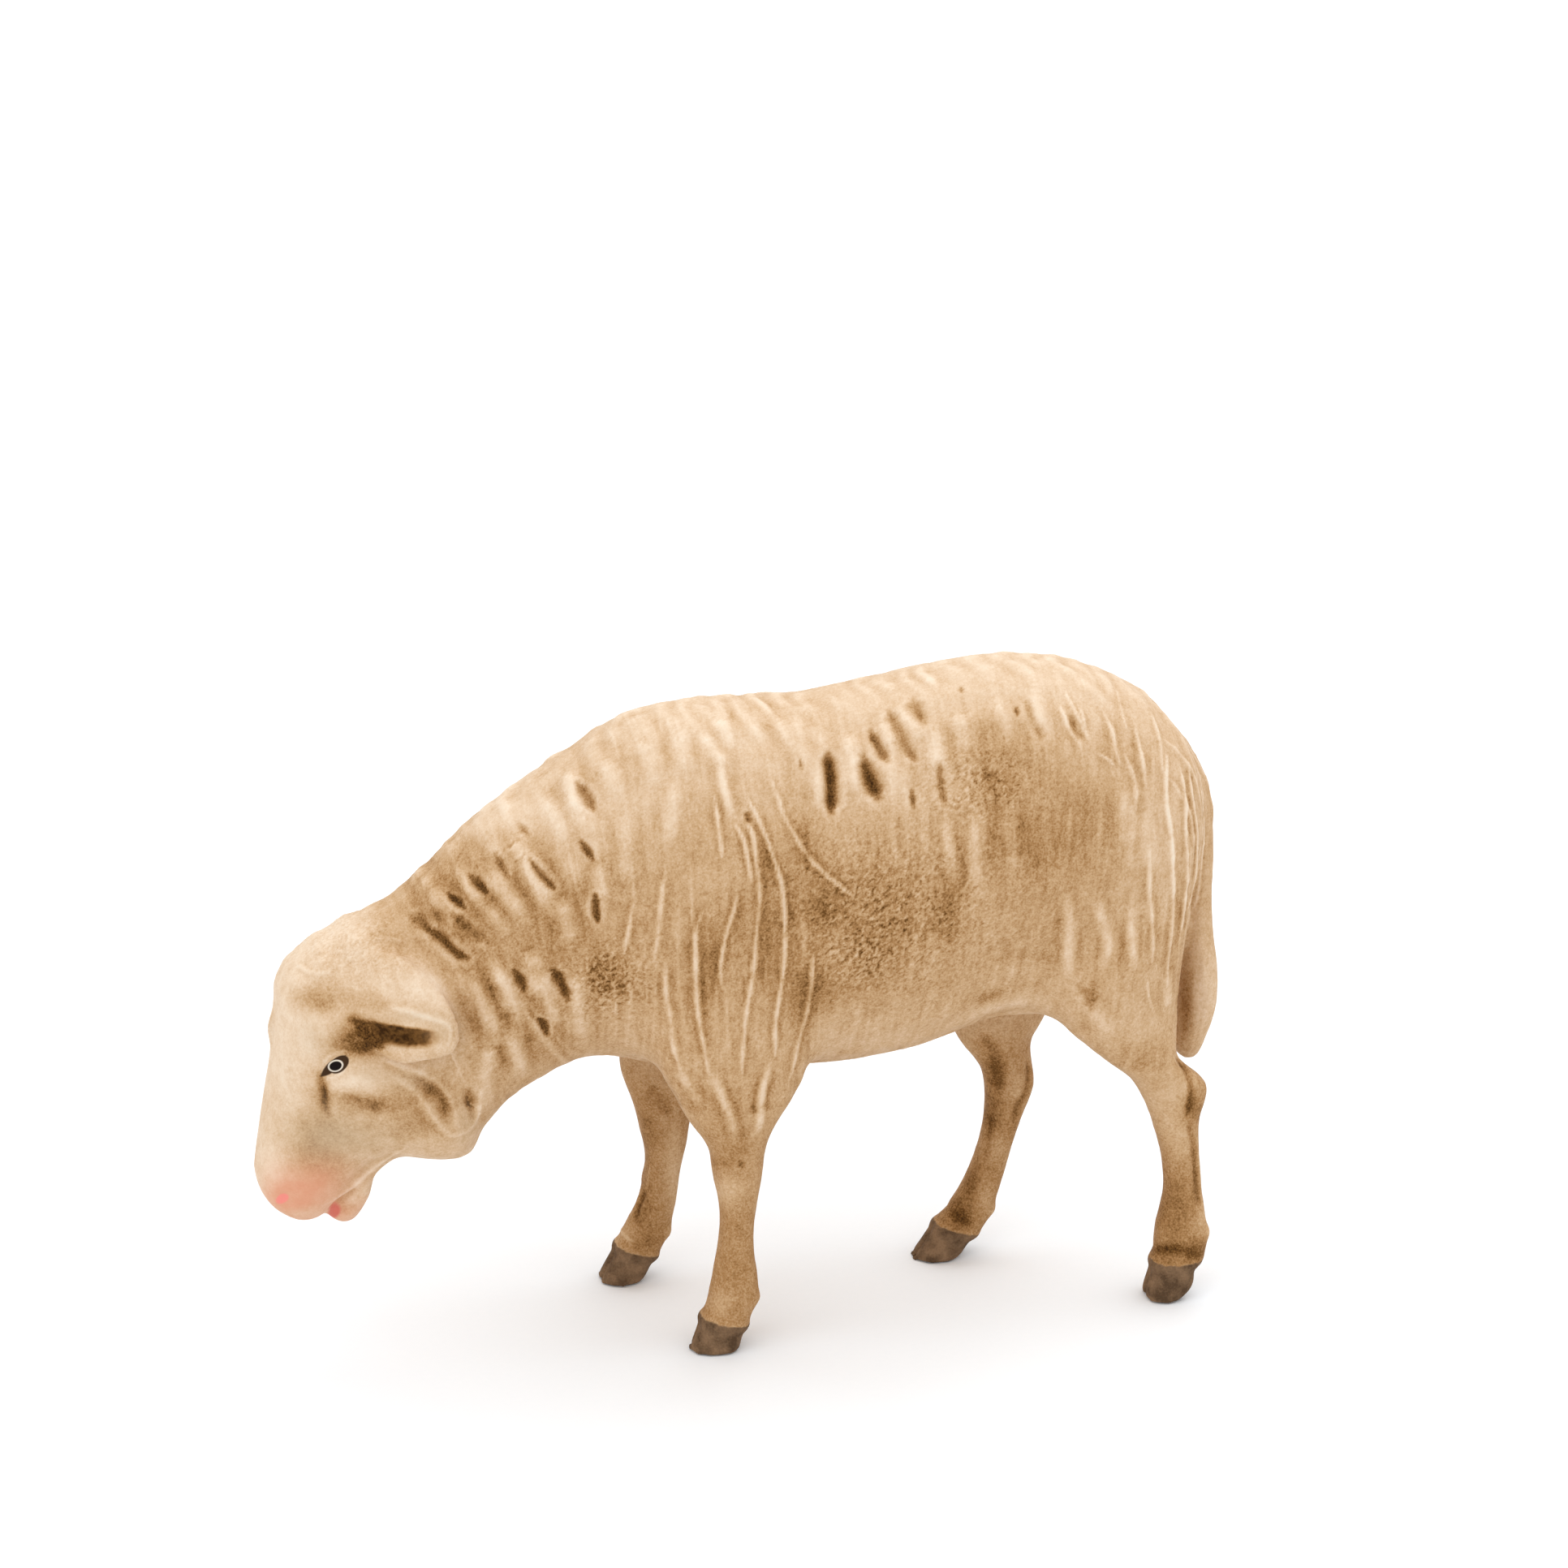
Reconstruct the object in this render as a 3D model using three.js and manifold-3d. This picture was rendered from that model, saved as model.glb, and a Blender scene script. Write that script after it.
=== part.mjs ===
// A sheep figurine that stands with its head lowered, cast in paper pulp and painted: two hollow body halves
// glued along the middle, with the head, ears, tail and four wire-cored legs cast apart and set on.
// Millimetres, +Z up, the nose towards -X and the sheep's left side towards -Y. The soles stand on z = 0.
import * as THREE from "three";
import { mergeVertices } from "three/addons/utils/BufferGeometryUtils.js";
import Module from "manifold-3d";

const wasm = await Module();
wasm.setup();

// Driving sizes of the casting and its joints
const wall = 3.2; // body shell
const glueGap = 0.3; // between pieces that are set on one another
const seamGap = 0.2; // between the two body halves
const jointHeight = 41; // leg joints above the ground
const wireRadius = 1.0; // leg cores
const wireFloor = 4; // lowest point of a leg core above the ground
const pinRadius = 0.8; // tail pin
const pinHeight = 77;
const pinInRump = 9.2; // from the tail's inner side
const pinInTail = 3.6;
const dowelRadius = 4; // neck dowel
const dowelInNeck = 11;
const dowelInHead = 13;
const stripWidth = 12; // paper strips over the seam, inside
const stripThickness = 0.9;
const backStripReach = [-34, 60];
const bellyStripReach = [-17, 44];
const blockFoot = 60; // wooden cross blocks that hold the leg cores, above the ground
const blockThickness = 12;
const shoulderBlockReach = [-12, 3];
const hipBlockReach = [45, 61];
const wireInBlock = 8; // depth of a leg core in its block

// Facets round and along the lofted forms
const bodyFacets = { sides: 26, rings: 30, power: 2.15 };
const cavityFacets = { sides: 18, rings: 18, power: 2.15 };
const stumpFacets = { sides: 16, rings: 8, power: 2.2 };
const legFacets = { sides: 14, rings: 20, power: 2.25 };
const headFacets = { sides: 22, rings: 22, power: 2.2 };
const jawFacets = { sides: 12, rings: 7, power: 2.2 };
const earFacets = { sides: 14, rings: 9, power: 2 };
const hollowFacets = { sides: 10, rings: 6, power: 2 };
const tailFacets = { sides: 12, rings: 14, power: 2.1 };
const rodSides = 8;

// Body and neck, rump first: back x and z, belly x and z, half width
const bodyStations = [
  [72.6, 86, 70, 57.5, 10.5],
  [69.4, 92.2, 66.4, 51.6, 15.8],
  [63, 98.8, 58.5, 48.2, 18.4],
  [53.4, 103.2, 48.5, 46.2, 19.9],
  [43, 104.9, 38, 45.1, 20.4],
  [31, 104.1, 28, 43.2, 20.6],
  [19.5, 102.2, 18, 41.9, 20.6],
  [7, 100.8, 8, 41.8, 20.2],
  [-5, 101, -3, 42.4, 19.4],
  [-15, 99.9, -13, 43.4, 18.2],
  [-23.2, 96.4, -20, 45.4, 16.6],
  [-32.4, 90.6, -26, 45.4, 15],
  [-41.5, 83.9, -31.5, 43.5, 13.8],
  [-49, 77.1, -37, 39.5, 12.9],
  [-54.5, 72.9, -41, 34.6, 12.4],
];

// Head, neck joint first: brow line x and z, jaw line x and z, half width
const headStations = [
  [-54.5, 72.9, -41, 34.6, 12.4],
  [-60.5, 70.4, -42.8, 31.2, 13],
  [-67, 67.2, -46, 30.8, 12.8],
  [-71, 62.8, -49.5, 31.2, 12],
  [-72.2, 56.2, -52.5, 31.8, 11],
  [-73, 49.2, -55, 31.6, 9.8],
  [-74, 42.2, -58, 30.2, 8.6],
  [-75.1, 35.2, -61, 27.6, 7.8],
  [-75.8, 29.8, -63.6, 25.2, 7],
  [-74.2, 25.6, -66, 23.2, 5.4],
  [-71.5, 23.4, -68.3, 22.4, 3],
];

// Lower jaw and chin, root first: front x and z, rear x and z, half width
const jawStations = [
  [-58.5, 35, -51.4, 33.4, 6],
  [-61.8, 29.4, -57, 30, 5.6],
  [-64, 25.6, -59.1, 26, 5],
  [-65, 23.2, -59.9, 23.4, 4.2],
  [-64.4, 21.7, -60.8, 21.7, 2.4],
];

// Left ear, root first: upper edge, lower edge, half thickness
const earStations = [
  [[-57.5, -7.5, 68.7], [-64, -8.5, 58.2], 1.6],
  [[-53.5, -11, 68.2], [-62, -12.6, 55.7], 1.8],
  [[-49.3, -13.8, 64.7], [-57, -15.6, 52.9], 1.7],
  [[-46.2, -15.6, 59.9], [-51.5, -16.8, 52.1], 1.4],
  [[-45.4, -16.4, 56.3], [-47.4, -16.8, 53.5], 0.8],
];
// Hollow of the left ear, between the upper flap and the lower rim: upper edge, lower edge, half depth
const earHollow = [
  [[-63.3, -13.2, 60.3], [-63.8, -13.2, 57.1], 1.6],
  [[-58, -15.6, 58.9], [-58.8, -15.6, 55.3], 1.7],
  [[-50.5, -18, 56.9], [-51.2, -18, 54.5], 1.2],
];

// Tail, root first: side towards the rump x and z, outer side x and z, half width
const tailStations = [
  [68, 88, 71.6, 90, 3],
  [70, 81, 75.4, 82, 4.6],
  [70.5, 69, 76.6, 69, 5.2],
  [70.5, 55, 77.2, 54, 5.2],
  [70.6, 45, 77.1, 44, 4.8],
  [71.2, 38.6, 76.2, 38, 3.8],
  [72.8, 35.8, 75, 35.8, 1.8],
];

// Legs. joint: front x, rear x, half width and y where the leg meets the body. above: the shoulder or thigh
// on the body, top first. below: the leg down to its sole. Both give front x and z, rear x and z, half width
// and y. anchor: x and y where the leg's core enters its block.
const legs = {
  front_left: {
    joint: [-12.3, 5.9, 6, -13.4],
    above: [
      [-13, 78, 9, 78, 4.4, -12],
      [-16.8, 61, 12.4, 61, 6.4, -12.6],
      [-16.2, 50, 10.2, 50, 6.5, -12.8],
    ],
    below: [
      [-10.4, 37.7, 3.6, 37.7, 5.4, -13.5],
      [-7.6, 33.7, 1.6, 33.7, 4.7, -13.7],
      [-6.9, 28.7, 0.9, 28.7, 4.3, -13.8],
      [-5.9, 24.1, 0, 24.1, 3.5, -14],
      [-5.8, 19.7, -0.5, 19.7, 3.1, -14],
      [-6.5, 15.2, -0.4, 15.4, 3.1, -14.1],
      [-7.5, 9.7, 0.1, 9.5, 3.7, -14.2],
      [-8.2, 6.7, -1, 5.5, 3.7, -14.3],
      [-9.1, 4.9, -2.2, 2.5, 4, -14.4],
      [-10, 1.7, -2.8, 0.6, 4.2, -14.4],
      [-10.6, 0, -2.8, 0, 4.3, -14.4],
    ],
    anchor: [-2.5, -8],
  },
  front_right: {
    joint: [-15.8, 3, 6, 13.4],
    above: [
      [-14, 78, 7, 78, 4.4, 12],
      [-18.4, 61, 10.4, 61, 6.2, 12.4],
      [-18.6, 50, 7.8, 50, 6.4, 12.7],
    ],
    below: [
      [-15.4, 36.7, -1.2, 35.7, 5.4, 13.5],
      [-13.8, 30.7, -4.2, 29.3, 4.7, 13.7],
      [-12.7, 25.1, -5.2, 23.7, 4.2, 13.8],
      [-11.9, 20.7, -6.2, 18.9, 3.5, 14],
      [-12.5, 15.7, -6.8, 13.5, 3.1, 14],
      [-14.6, 10.1, -8, 7.9, 3.2, 14.1],
      [-16, 6.9, -9.4, 4.7, 3.7, 14.2],
      [-16.8, 4.9, -10.6, 2.7, 3.9, 14.3],
      [-18.4, 1.7, -11.7, 0.5, 4.2, 14.4],
      [-19.3, 0, -12.2, 0, 4.3, 14.4],
    ],
    anchor: [-6.5, 8],
  },
  hind_left: {
    joint: [57.2, 68.4, 5.6, -11.6],
    above: [
      [43, 80, 68, 80, 4.6, -12],
      [42.6, 61, 70.8, 61, 7.1, -12.1],
      [47.5, 50, 70.2, 49.4, 6.8, -11.9],
    ],
    below: [
      [61, 38.1, 69.4, 39.1, 4.6, -11.6],
      [63.7, 33.3, 72.7, 35.7, 4, -11.6],
      [64.9, 28.3, 71.7, 30.7, 3.6, -11.6],
      [66, 23.3, 71.8, 24.7, 3.1, -11.6],
      [66.5, 17.7, 72.6, 17.9, 3.1, -11.6],
      [65.4, 12.2, 73.5, 12.3, 3.7, -11.7],
      [65, 8.1, 73.4, 7.1, 3.8, -11.7],
      [64.6, 5.3, 71.4, 4.7, 3.8, -11.7],
      [63.6, 1.5, 70.6, 1.5, 4.2, -11.7],
      [63.5, 0, 69.2, 0, 4.1, -11.7],
    ],
    anchor: [56.5, -7],
  },
  hind_right: {
    joint: [37.2, 53.4, 5.8, 11.6],
    above: [
      [43, 80, 66, 80, 4.6, 12],
      [38, 61, 66, 61, 7.1, 12.1],
      [35.4, 50, 58, 50, 6.8, 11.9],
    ],
    below: [
      [39.8, 36.7, 51, 36.7, 5, 11.6],
      [42.6, 32.1, 50.4, 33.1, 4.2, 11.6],
      [43.4, 27.3, 51, 28.7, 3.8, 11.6],
      [43.2, 23.7, 49.4, 23.9, 3.4, 11.6],
      [42.2, 18.7, 47.4, 17.9, 3.1, 11.6],
      [39.8, 12.3, 45.6, 10.9, 3.1, 11.6],
      [37.2, 7.7, 43.8, 5.5, 3.6, 11.7],
      [34.9, 4.7, 41, 2.3, 3.9, 11.7],
      [33.1, 1.7, 39.8, 0.5, 4.2, 11.7],
      [31.8, 0, 39.2, 0, 4.2, 11.7],
    ],
    anchor: [49.5, 7],
  },
};

const castPaint = { color: 0xdcbb90, roughness: 0.6, metalness: 0 };
const legPaint = { color: 0xb88c5c, roughness: 0.6, metalness: 0 };
const wireMetal = { color: 0x8f8c86, roughness: 0.4, metalness: 1 };
const bareWood = { color: 0xd8b27c, roughness: 0.8, metalness: 0 };
const barePaper = { color: 0xc9bfa8, roughness: 0.95, metalness: 0 };

const vector = (p) => new THREE.Vector3(...p);

// A station of a form that lies in a plane of constant y
function station([topX, topZ, bottomX, bottomZ, half, y = 0]) {
  return { top: vector([topX, y, topZ]), bottom: vector([bottomX, y, bottomZ]), half };
}

// A station given by its two edges on the left side of the figure, or mirrored to the right by a turn of -1
function edgeStation([top, bottom, half], turn) {
  const mirror = new THREE.Vector3(1, turn, 1);
  return { top: vector(top).multiply(mirror), bottom: vector(bottom).multiply(mirror), half };
}

// A closed form through the stations, with rounded sections. A positive inset draws its sides in, as for a
// cavity, and a negative one lets them out.
function loft(stations, { sides, rings, power }, inset = 0) {
  const topLine = new THREE.CatmullRomCurve3(stations.map((s) => s.top));
  const bottomLine = new THREE.CatmullRomCurve3(stations.map((s) => s.bottom));
  const halfLine = new THREE.SplineCurve(stations.map((s, i) => new THREE.Vector2(i, s.half)));
  const middle = (t) => topLine.getPoint(t).add(bottomLine.getPoint(t)).multiplyScalar(0.5);
  const points = [];
  const ends = [];
  const corner = (p) => points.push(p.x, p.y, p.z);
  for (let ring = 0; ring <= rings; ring++) {
    const t = ring / rings;
    const centre = middle(t);
    const up = topLine.getPoint(t).sub(centre);
    const along = middle(Math.min(t + 0.01, 1)).sub(middle(Math.max(t - 0.01, 0)));
    const side = new THREE.Vector3().crossVectors(along, up).setLength(halfLine.getPoint(t).y - inset);
    up.setLength(up.length() - inset);
    if (ring === 0 || ring === rings) centre.addScaledVector(along.normalize(), ring ? -inset : inset);
    if (ring === 0 || ring === rings) ends.push(centre);
    for (let k = 0; k < sides; k++) {
      const angle = (2 * Math.PI * k) / sides;
      const across = Math.sign(Math.cos(angle)) * Math.abs(Math.cos(angle)) ** (2 / power);
      const upward = Math.sign(Math.sin(angle)) * Math.abs(Math.sin(angle)) ** (2 / power);
      corner(centre.clone().addScaledVector(side, across).addScaledVector(up, upward));
    }
  }
  corner(ends[0]);
  corner(ends[1]);
  const faces = [];
  const first = (rings + 1) * sides;
  for (let k = 0; k < sides; k++) {
    const next = (k + 1) % sides;
    for (let ring = 0; ring < rings; ring++) {
      const a = ring * sides;
      const b = a + sides;
      faces.push(a + k, b + k, a + next, a + next, b + k, b + next);
    }
    faces.push(first, k, next, first + 1, rings * sides + next, rings * sides + k);
  }
  return solid(new THREE.BufferGeometry()
    .setAttribute("position", new THREE.Float32BufferAttribute(points, 3))
    .setIndex(faces));
}

// A round rod along a path, drawn out at both ends by extend
function rod(path, radius, extend = 0) {
  const points = path.map(vector);
  const last = points.length - 1;
  const stretch = (end, inner) => end.add(end.clone().sub(inner).setLength(extend));
  if (extend) {
    stretch(points[0], points[1]);
    stretch(points[last], points[last - 1]);
  }
  const outline = new THREE.Shape().absarc(0, 0, radius, 0, 2 * Math.PI);
  const curve = new THREE.CatmullRomCurve3(points);
  const steps = last === 1 ? 1 : 2 * last;
  const options = { steps, curveSegments: rodSides / 2, bevelEnabled: false, extrudePath: curve };
  return solid(new THREE.ExtrudeGeometry(outline, options));
}

// A box between two corners
function box(low, high) {
  const size = vector(high).sub(vector(low));
  const middle = vector(low).add(vector(high)).multiplyScalar(0.5);
  return solid(new THREE.BoxGeometry(size.x, size.y, size.z).translate(middle.x, middle.y, middle.z));
}

// A closed geometry as a solid that can be joined and cut
function solid(geometry) {
  geometry.deleteAttribute("normal");
  geometry.deleteAttribute("uv");
  const merged = mergeVertices(geometry, 1e-4);
  const vertProperties = new Float32Array(merged.attributes.position.array);
  const triVerts = new Uint32Array(merged.index.array);
  return new wasm.Manifold(new wasm.Mesh({ numProp: 3, vertProperties, triVerts }));
}

const sheep = new THREE.Group();

// Adds a solid to the figure as a named piece
function piece(name, shape, finish) {
  const mesh = shape.getMesh();
  const geometry = new THREE.BufferGeometry()
    .setAttribute("position", new THREE.BufferAttribute(mesh.vertProperties, 3))
    .setIndex(new THREE.BufferAttribute(mesh.triVerts, 1));
  geometry.computeVertexNormals();
  const made = new THREE.Mesh(geometry, new THREE.MeshStandardMaterial(finish));
  made.name = name;
  sheep.add(made);
}

// Body: the trunk with its shoulders and thighs, hollow from the second station to the last but one
const far = 200;
const bodyRings = bodyStations.map(station);
const cavityRings = bodyRings.slice(1, -1);
const jointTop = jointHeight + glueGap / 2;
const jointFoot = jointHeight - glueGap / 2;
const aboveJoint = box([-far, -far, jointTop], [far, far, far]);
const belowJoint = box([-far, -far, 0], [far, far, jointFoot]);
const stumps = (inset) =>
  Object.values(legs).map(({ joint: [front, rear, half, y], above }) => {
    const stump = [...above, [front, jointTop, rear, jointTop, half, y]];
    return loft(stump.map(station), stumpFacets, inset).intersect(aboveJoint);
  });
const bodyForm = (inset) => stumps(inset).reduce((all, s) => all.add(s), loft(bodyRings, bodyFacets, inset));
const cavity = (inset) => loft(cavityRings, cavityFacets, wall + inset);
const bodyOuter = bodyForm(0);

// Leg cores follow the middle of their legs up into the wooden blocks
function corePath({ joint: [front, rear, , y], below, anchor }) {
  const middles = below.map(([fx, fz, rx, rz, , my]) => [(fx + rx) / 2, my, (fz + rz) / 2]);
  const inLeg = middles.filter(([, , z], i) => z >= wireFloor && i % 2).reverse();
  const atBlock = [...anchor, blockFoot];
  const end = [...anchor, blockFoot + wireInBlock];
  return [...inLeg, [(front + rear) / 2, y, jointHeight], atBlock, end];
}
const cores = Object.fromEntries(Object.entries(legs).map(([name, leg]) => [name, corePath(leg)]));
const coreHoles = Object.values(cores)
  .map((path) => rod(path, wireRadius + glueGap, glueGap))
  .reduce((all, hole) => all.add(hole));

// Neck dowel, square to the joint between the head and the neck
const [neckTopX, neckTopZ, neckLowX, neckLowZ] = bodyStations.at(-1);
const neckMiddle = new THREE.Vector3((neckTopX + neckLowX) / 2, 0, (neckTopZ + neckLowZ) / 2);
const neckAxis = new THREE.Vector3(neckLowZ - neckTopZ, 0, neckTopX - neckLowX).normalize();
const alongNeck = (distance) => neckMiddle.clone().addScaledVector(neckAxis, distance).toArray();
const dowelPath = [alongNeck(-dowelInNeck), alongNeck(dowelInHead)];
const dowelHole = rod(dowelPath, dowelRadius + glueGap, glueGap);

// Tail pin, level along the middle of the rump
const tailSide = tailStations[2][0];
const pinPath = [-pinInRump, pinInTail].map((distance) => [tailSide + distance, 0, pinHeight]);
const pinHole = rod(pinPath, pinRadius + glueGap, glueGap);

const shell = bodyOuter.subtract(cavity(0)).subtract(coreHoles).subtract(dowelHole).subtract(pinHole);
piece("left_body_shell", shell.intersect(box([-far, -far, 0], [far, -seamGap / 2, far])), castPaint);
piece("right_body_shell", shell.intersect(box([-far, seamGap / 2, 0], [far, far, far])), castPaint);

// Paper strips glued over the seam inside the body
const lining = cavity(glueGap).subtract(cavity(glueGap + stripThickness));
const stripCut = ([from, to], low, high) =>
  lining.intersect(box([from, -stripWidth / 2, low], [to, stripWidth / 2, high]));
const cavityMiddle = blockFoot + blockThickness / 2;
piece("back_seam_strip", stripCut(backStripReach, cavityMiddle, far), barePaper);
piece("belly_seam_strip", stripCut(bellyStripReach, 0, cavityMiddle), barePaper);

// Wooden blocks across the body, trimmed to the cavity, that hold the leg cores
const blockTop = blockFoot + blockThickness;
const block = ([from, to]) =>
  cavity(glueGap).intersect(box([from, -far, blockFoot], [to, far, blockTop])).subtract(coreHoles);
piece("shoulder_block", block(shoulderBlockReach), bareWood);
piece("hip_block", block(hipBlockReach).subtract(pinHole), bareWood);

// Head, with its chin, set square against the neck by the dowel
const headForm = loft(headStations.map(station), headFacets);
const jaw = loft(jawStations.map(station), jawFacets);
const inFrontOfNeck = (distance) => {
  const slab = new THREE.BoxGeometry(far, far, far).translate(far / 2, 0, 0);
  const turn = new THREE.Matrix4().makeRotationY(-Math.atan2(neckAxis.z, neckAxis.x));
  const [x, y, z] = alongNeck(distance);
  return solid(slab.applyMatrix4(turn).translate(x, y, z));
};
const sides = { left: 1, right: -1 };
const onSide = (stations, turn) => stations.map((s) => edgeStation(s, turn));
const earForm = (turn, inset) => loft(onSide(earStations, turn), earFacets, inset);
const headShape = headForm.add(jaw).intersect(inFrontOfNeck(glueGap)).subtract(dowelHole);
const earSeats = earForm(sides.left, -glueGap).add(earForm(sides.right, -glueGap));
piece("head", headShape.subtract(earSeats), castPaint);
piece("neck_dowel", rod(dowelPath, dowelRadius), bareWood);

// Ears, let into the head and clear of the neck
for (const [name, turn] of Object.entries(sides)) {
  const hollow = loft(onSide(earHollow, turn), hollowFacets);
  piece(`${name}_ear`, earForm(turn, 0).subtract(hollow).subtract(bodyForm(-glueGap)), castPaint);
}

// Tail, trimmed to lie against the rump
const tailForm = loft(tailStations.map(station), tailFacets);
piece("tail", tailForm.subtract(bodyForm(-glueGap)).subtract(pinHole), castPaint);
piece("tail_pin", rod(pinPath, pinRadius), wireMetal);

// Legs, each with its wire core
for (const [name, leg] of Object.entries(legs)) {
  const [front, rear, half, y] = leg.joint;
  const stations = [[front, jointFoot, rear, jointFoot, half, y], ...leg.below];
  const form = loft(stations.map(station), legFacets).intersect(belowJoint);
  piece(`${name}_leg`, form.subtract(coreHoles), legPaint);
  piece(`${name}_leg_core`, rod(cores[name], wireRadius), wireMetal);
}

// The frame stands under the middle of the figure's box
const middle = new THREE.Box3().setFromObject(sheep).getCenter(new THREE.Vector3());
for (const { geometry } of sheep.children) geometry.translate(-middle.x, -middle.y, 0);

export default sheep;
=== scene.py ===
import math

import bmesh
import bpy
import numpy as np
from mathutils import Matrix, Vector, geometry
from mathutils.bvhtree import BVHTree


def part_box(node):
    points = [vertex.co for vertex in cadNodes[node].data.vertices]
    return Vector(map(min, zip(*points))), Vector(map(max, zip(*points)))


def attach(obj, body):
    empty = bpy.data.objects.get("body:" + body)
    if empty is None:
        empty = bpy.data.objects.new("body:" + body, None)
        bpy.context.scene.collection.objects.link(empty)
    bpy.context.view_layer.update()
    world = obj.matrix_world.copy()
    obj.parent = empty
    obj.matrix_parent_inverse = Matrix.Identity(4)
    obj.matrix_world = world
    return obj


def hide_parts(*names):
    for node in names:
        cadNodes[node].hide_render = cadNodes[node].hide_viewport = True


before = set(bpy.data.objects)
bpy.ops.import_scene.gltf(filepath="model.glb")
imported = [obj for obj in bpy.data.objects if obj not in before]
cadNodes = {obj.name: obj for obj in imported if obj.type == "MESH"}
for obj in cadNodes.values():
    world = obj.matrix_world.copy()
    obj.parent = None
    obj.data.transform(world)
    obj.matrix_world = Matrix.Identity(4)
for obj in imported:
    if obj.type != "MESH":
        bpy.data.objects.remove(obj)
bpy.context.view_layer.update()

mm = 0.001
dice = np.random.default_rng(41)

# camera, light and floor come first, because the folds are placed by the photo's pixels
photoView = {
    "azimuth": -13.2,
    "elevation": 20.0,
    "distance": 1.0,
    "aim": (0.00694, 0.0, 0.0871),
    "focal": 8000.0,  # pixels
    "frame": 1932.0,  # pixels
    "sensor": 36.0,
}
azimuth = math.radians(photoView["azimuth"])
elevation = math.radians(photoView["elevation"])
backward = np.array([
    math.sin(azimuth) * math.cos(elevation),
    -math.cos(azimuth) * math.cos(elevation),
    math.sin(elevation),
])
cameraEye = np.array(photoView["aim"]) + backward * photoView["distance"]
sideways = np.array([math.cos(azimuth), math.sin(azimuth), 0.0])
upright = np.cross(sideways, -backward)


def addObject(name, data):
    thing = bpy.data.objects.new(name, data)
    bpy.context.scene.collection.objects.link(thing)
    return thing


def pointAt(thing, place, way):
    thing.location = place
    thing.rotation_mode = "QUATERNION"
    thing.rotation_quaternion = Vector(way).to_track_quat("-Z", "Y")


def makeCamera():
    lens = bpy.data.cameras.new("photoCamera")
    lens.sensor_width = photoView["sensor"]
    lens.lens = photoView["focal"] / photoView["frame"] * photoView["sensor"]
    camera = addObject("photoCamera", lens)
    pointAt(camera, cameraEye, -backward)
    bpy.context.scene.camera = camera


def photoRay(x, y):
    half = photoView["frame"] / 2
    ray = -backward + sideways * (x - half) / photoView["focal"] - upright * (y - half) / photoView["focal"]
    return Vector(ray).normalized()


def photoPlace(points):
    away = points - cameraEye
    depth = away @ -backward
    half = photoView["frame"] / 2
    return np.stack([
        half + photoView["focal"] * (away @ sideways) / depth,
        half - photoView["focal"] * (away @ upright) / depth,
    ], 1)


def addNode(tree, kind, inputs=None, **settings):
    node = tree.nodes.new(kind)
    for key, value in settings.items():
        setattr(node, key, value)
    for key, value in (inputs or {}).items():
        if isinstance(value, bpy.types.NodeSocket):
            tree.links.new(value, node.inputs[key])
        else:
            node.inputs[key].default_value = value
    return node


def newMaterial(name):
    material = bpy.data.materials.new(name)
    material.use_nodes = True
    material.node_tree.nodes.clear()
    return material, material.node_tree


def coat(tree, inputs):
    surface = addNode(tree, "ShaderNodeBsdfPrincipled", inputs)
    addNode(tree, "ShaderNodeOutputMaterial", {"Surface": surface.outputs["BSDF"]})


def colourRamp(tree, share, stops):
    node = addNode(tree, "ShaderNodeValToRGB", {"Fac": share})
    marks = node.color_ramp.elements
    while len(marks) < len(stops):
        marks.new(0.5)
    for mark, (place, colour) in zip(marks, stops):
        mark.position, mark.color = place, colour
    return node.outputs["Color"]


def linearLight(value):  # from a screen value
    value /= 255
    return value / 12.92 if value <= 0.04045 else ((value + 0.055) / 1.055) ** 2.4


def paintColour(shades):
    return (*map(linearLight, shades), 1.0)


studio = {
    "sky": 0.97,
    "floorSide": 6.0,
    "floorFibre": 900.0,
    "floorTones": [(0.0, (0.915, 0.938, 0.962, 1)), (1.0, (0.945, 0.962, 0.982, 1))],
    "lampAim": (0, 0, 0.05),
    "lamps": [  # place, width, power
        ((0.62, 0.35, 1.3), 1.7, 8.5),
        ((-0.75, -0.65, 1.1), 1.4, 4.0),
    ],
}


def makeStudio():
    scene = bpy.context.scene
    scene.view_settings.view_transform = "Standard"
    world = bpy.data.worlds.new("studioSky")
    world.use_nodes = True
    sky = world.node_tree.nodes["Background"].inputs
    sky["Color"].default_value = (1, 1, 1, 1)
    sky["Strength"].default_value = studio["sky"]
    scene.world = world
    for index, (place, width, power) in enumerate(studio["lamps"]):
        lamp = bpy.data.lights.new(f"softLamp{index}", "AREA")
        lamp.size, lamp.energy = width, power
        pointAt(addObject(f"softLamp{index}", lamp), place, Vector(studio["lampAim"]) - Vector(place))
    sheet = bpy.data.meshes.new("paleFloor")
    half = studio["floorSide"] / 2
    sheet.from_pydata([(-half, -half, 0), (half, -half, 0), (half, half, 0), (-half, half, 0)], [], [(0, 1, 2, 3)])
    material, tree = newMaterial("floorPaper")
    spot = addNode(tree, "ShaderNodeTexCoord").outputs["Object"]
    fibre = addNode(tree, "ShaderNodeTexNoise", {"Vector": spot, "Scale": studio["floorFibre"], "Detail": 2.0})
    coat(tree, {"Base Color": colourRamp(tree, fibre.outputs["Fac"], studio["floorTones"]), "Roughness": 0.9})
    sheet.materials.append(material)
    addObject("paleFloor", sheet)


makeCamera()
makeStudio()
print("studio ready")

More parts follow.
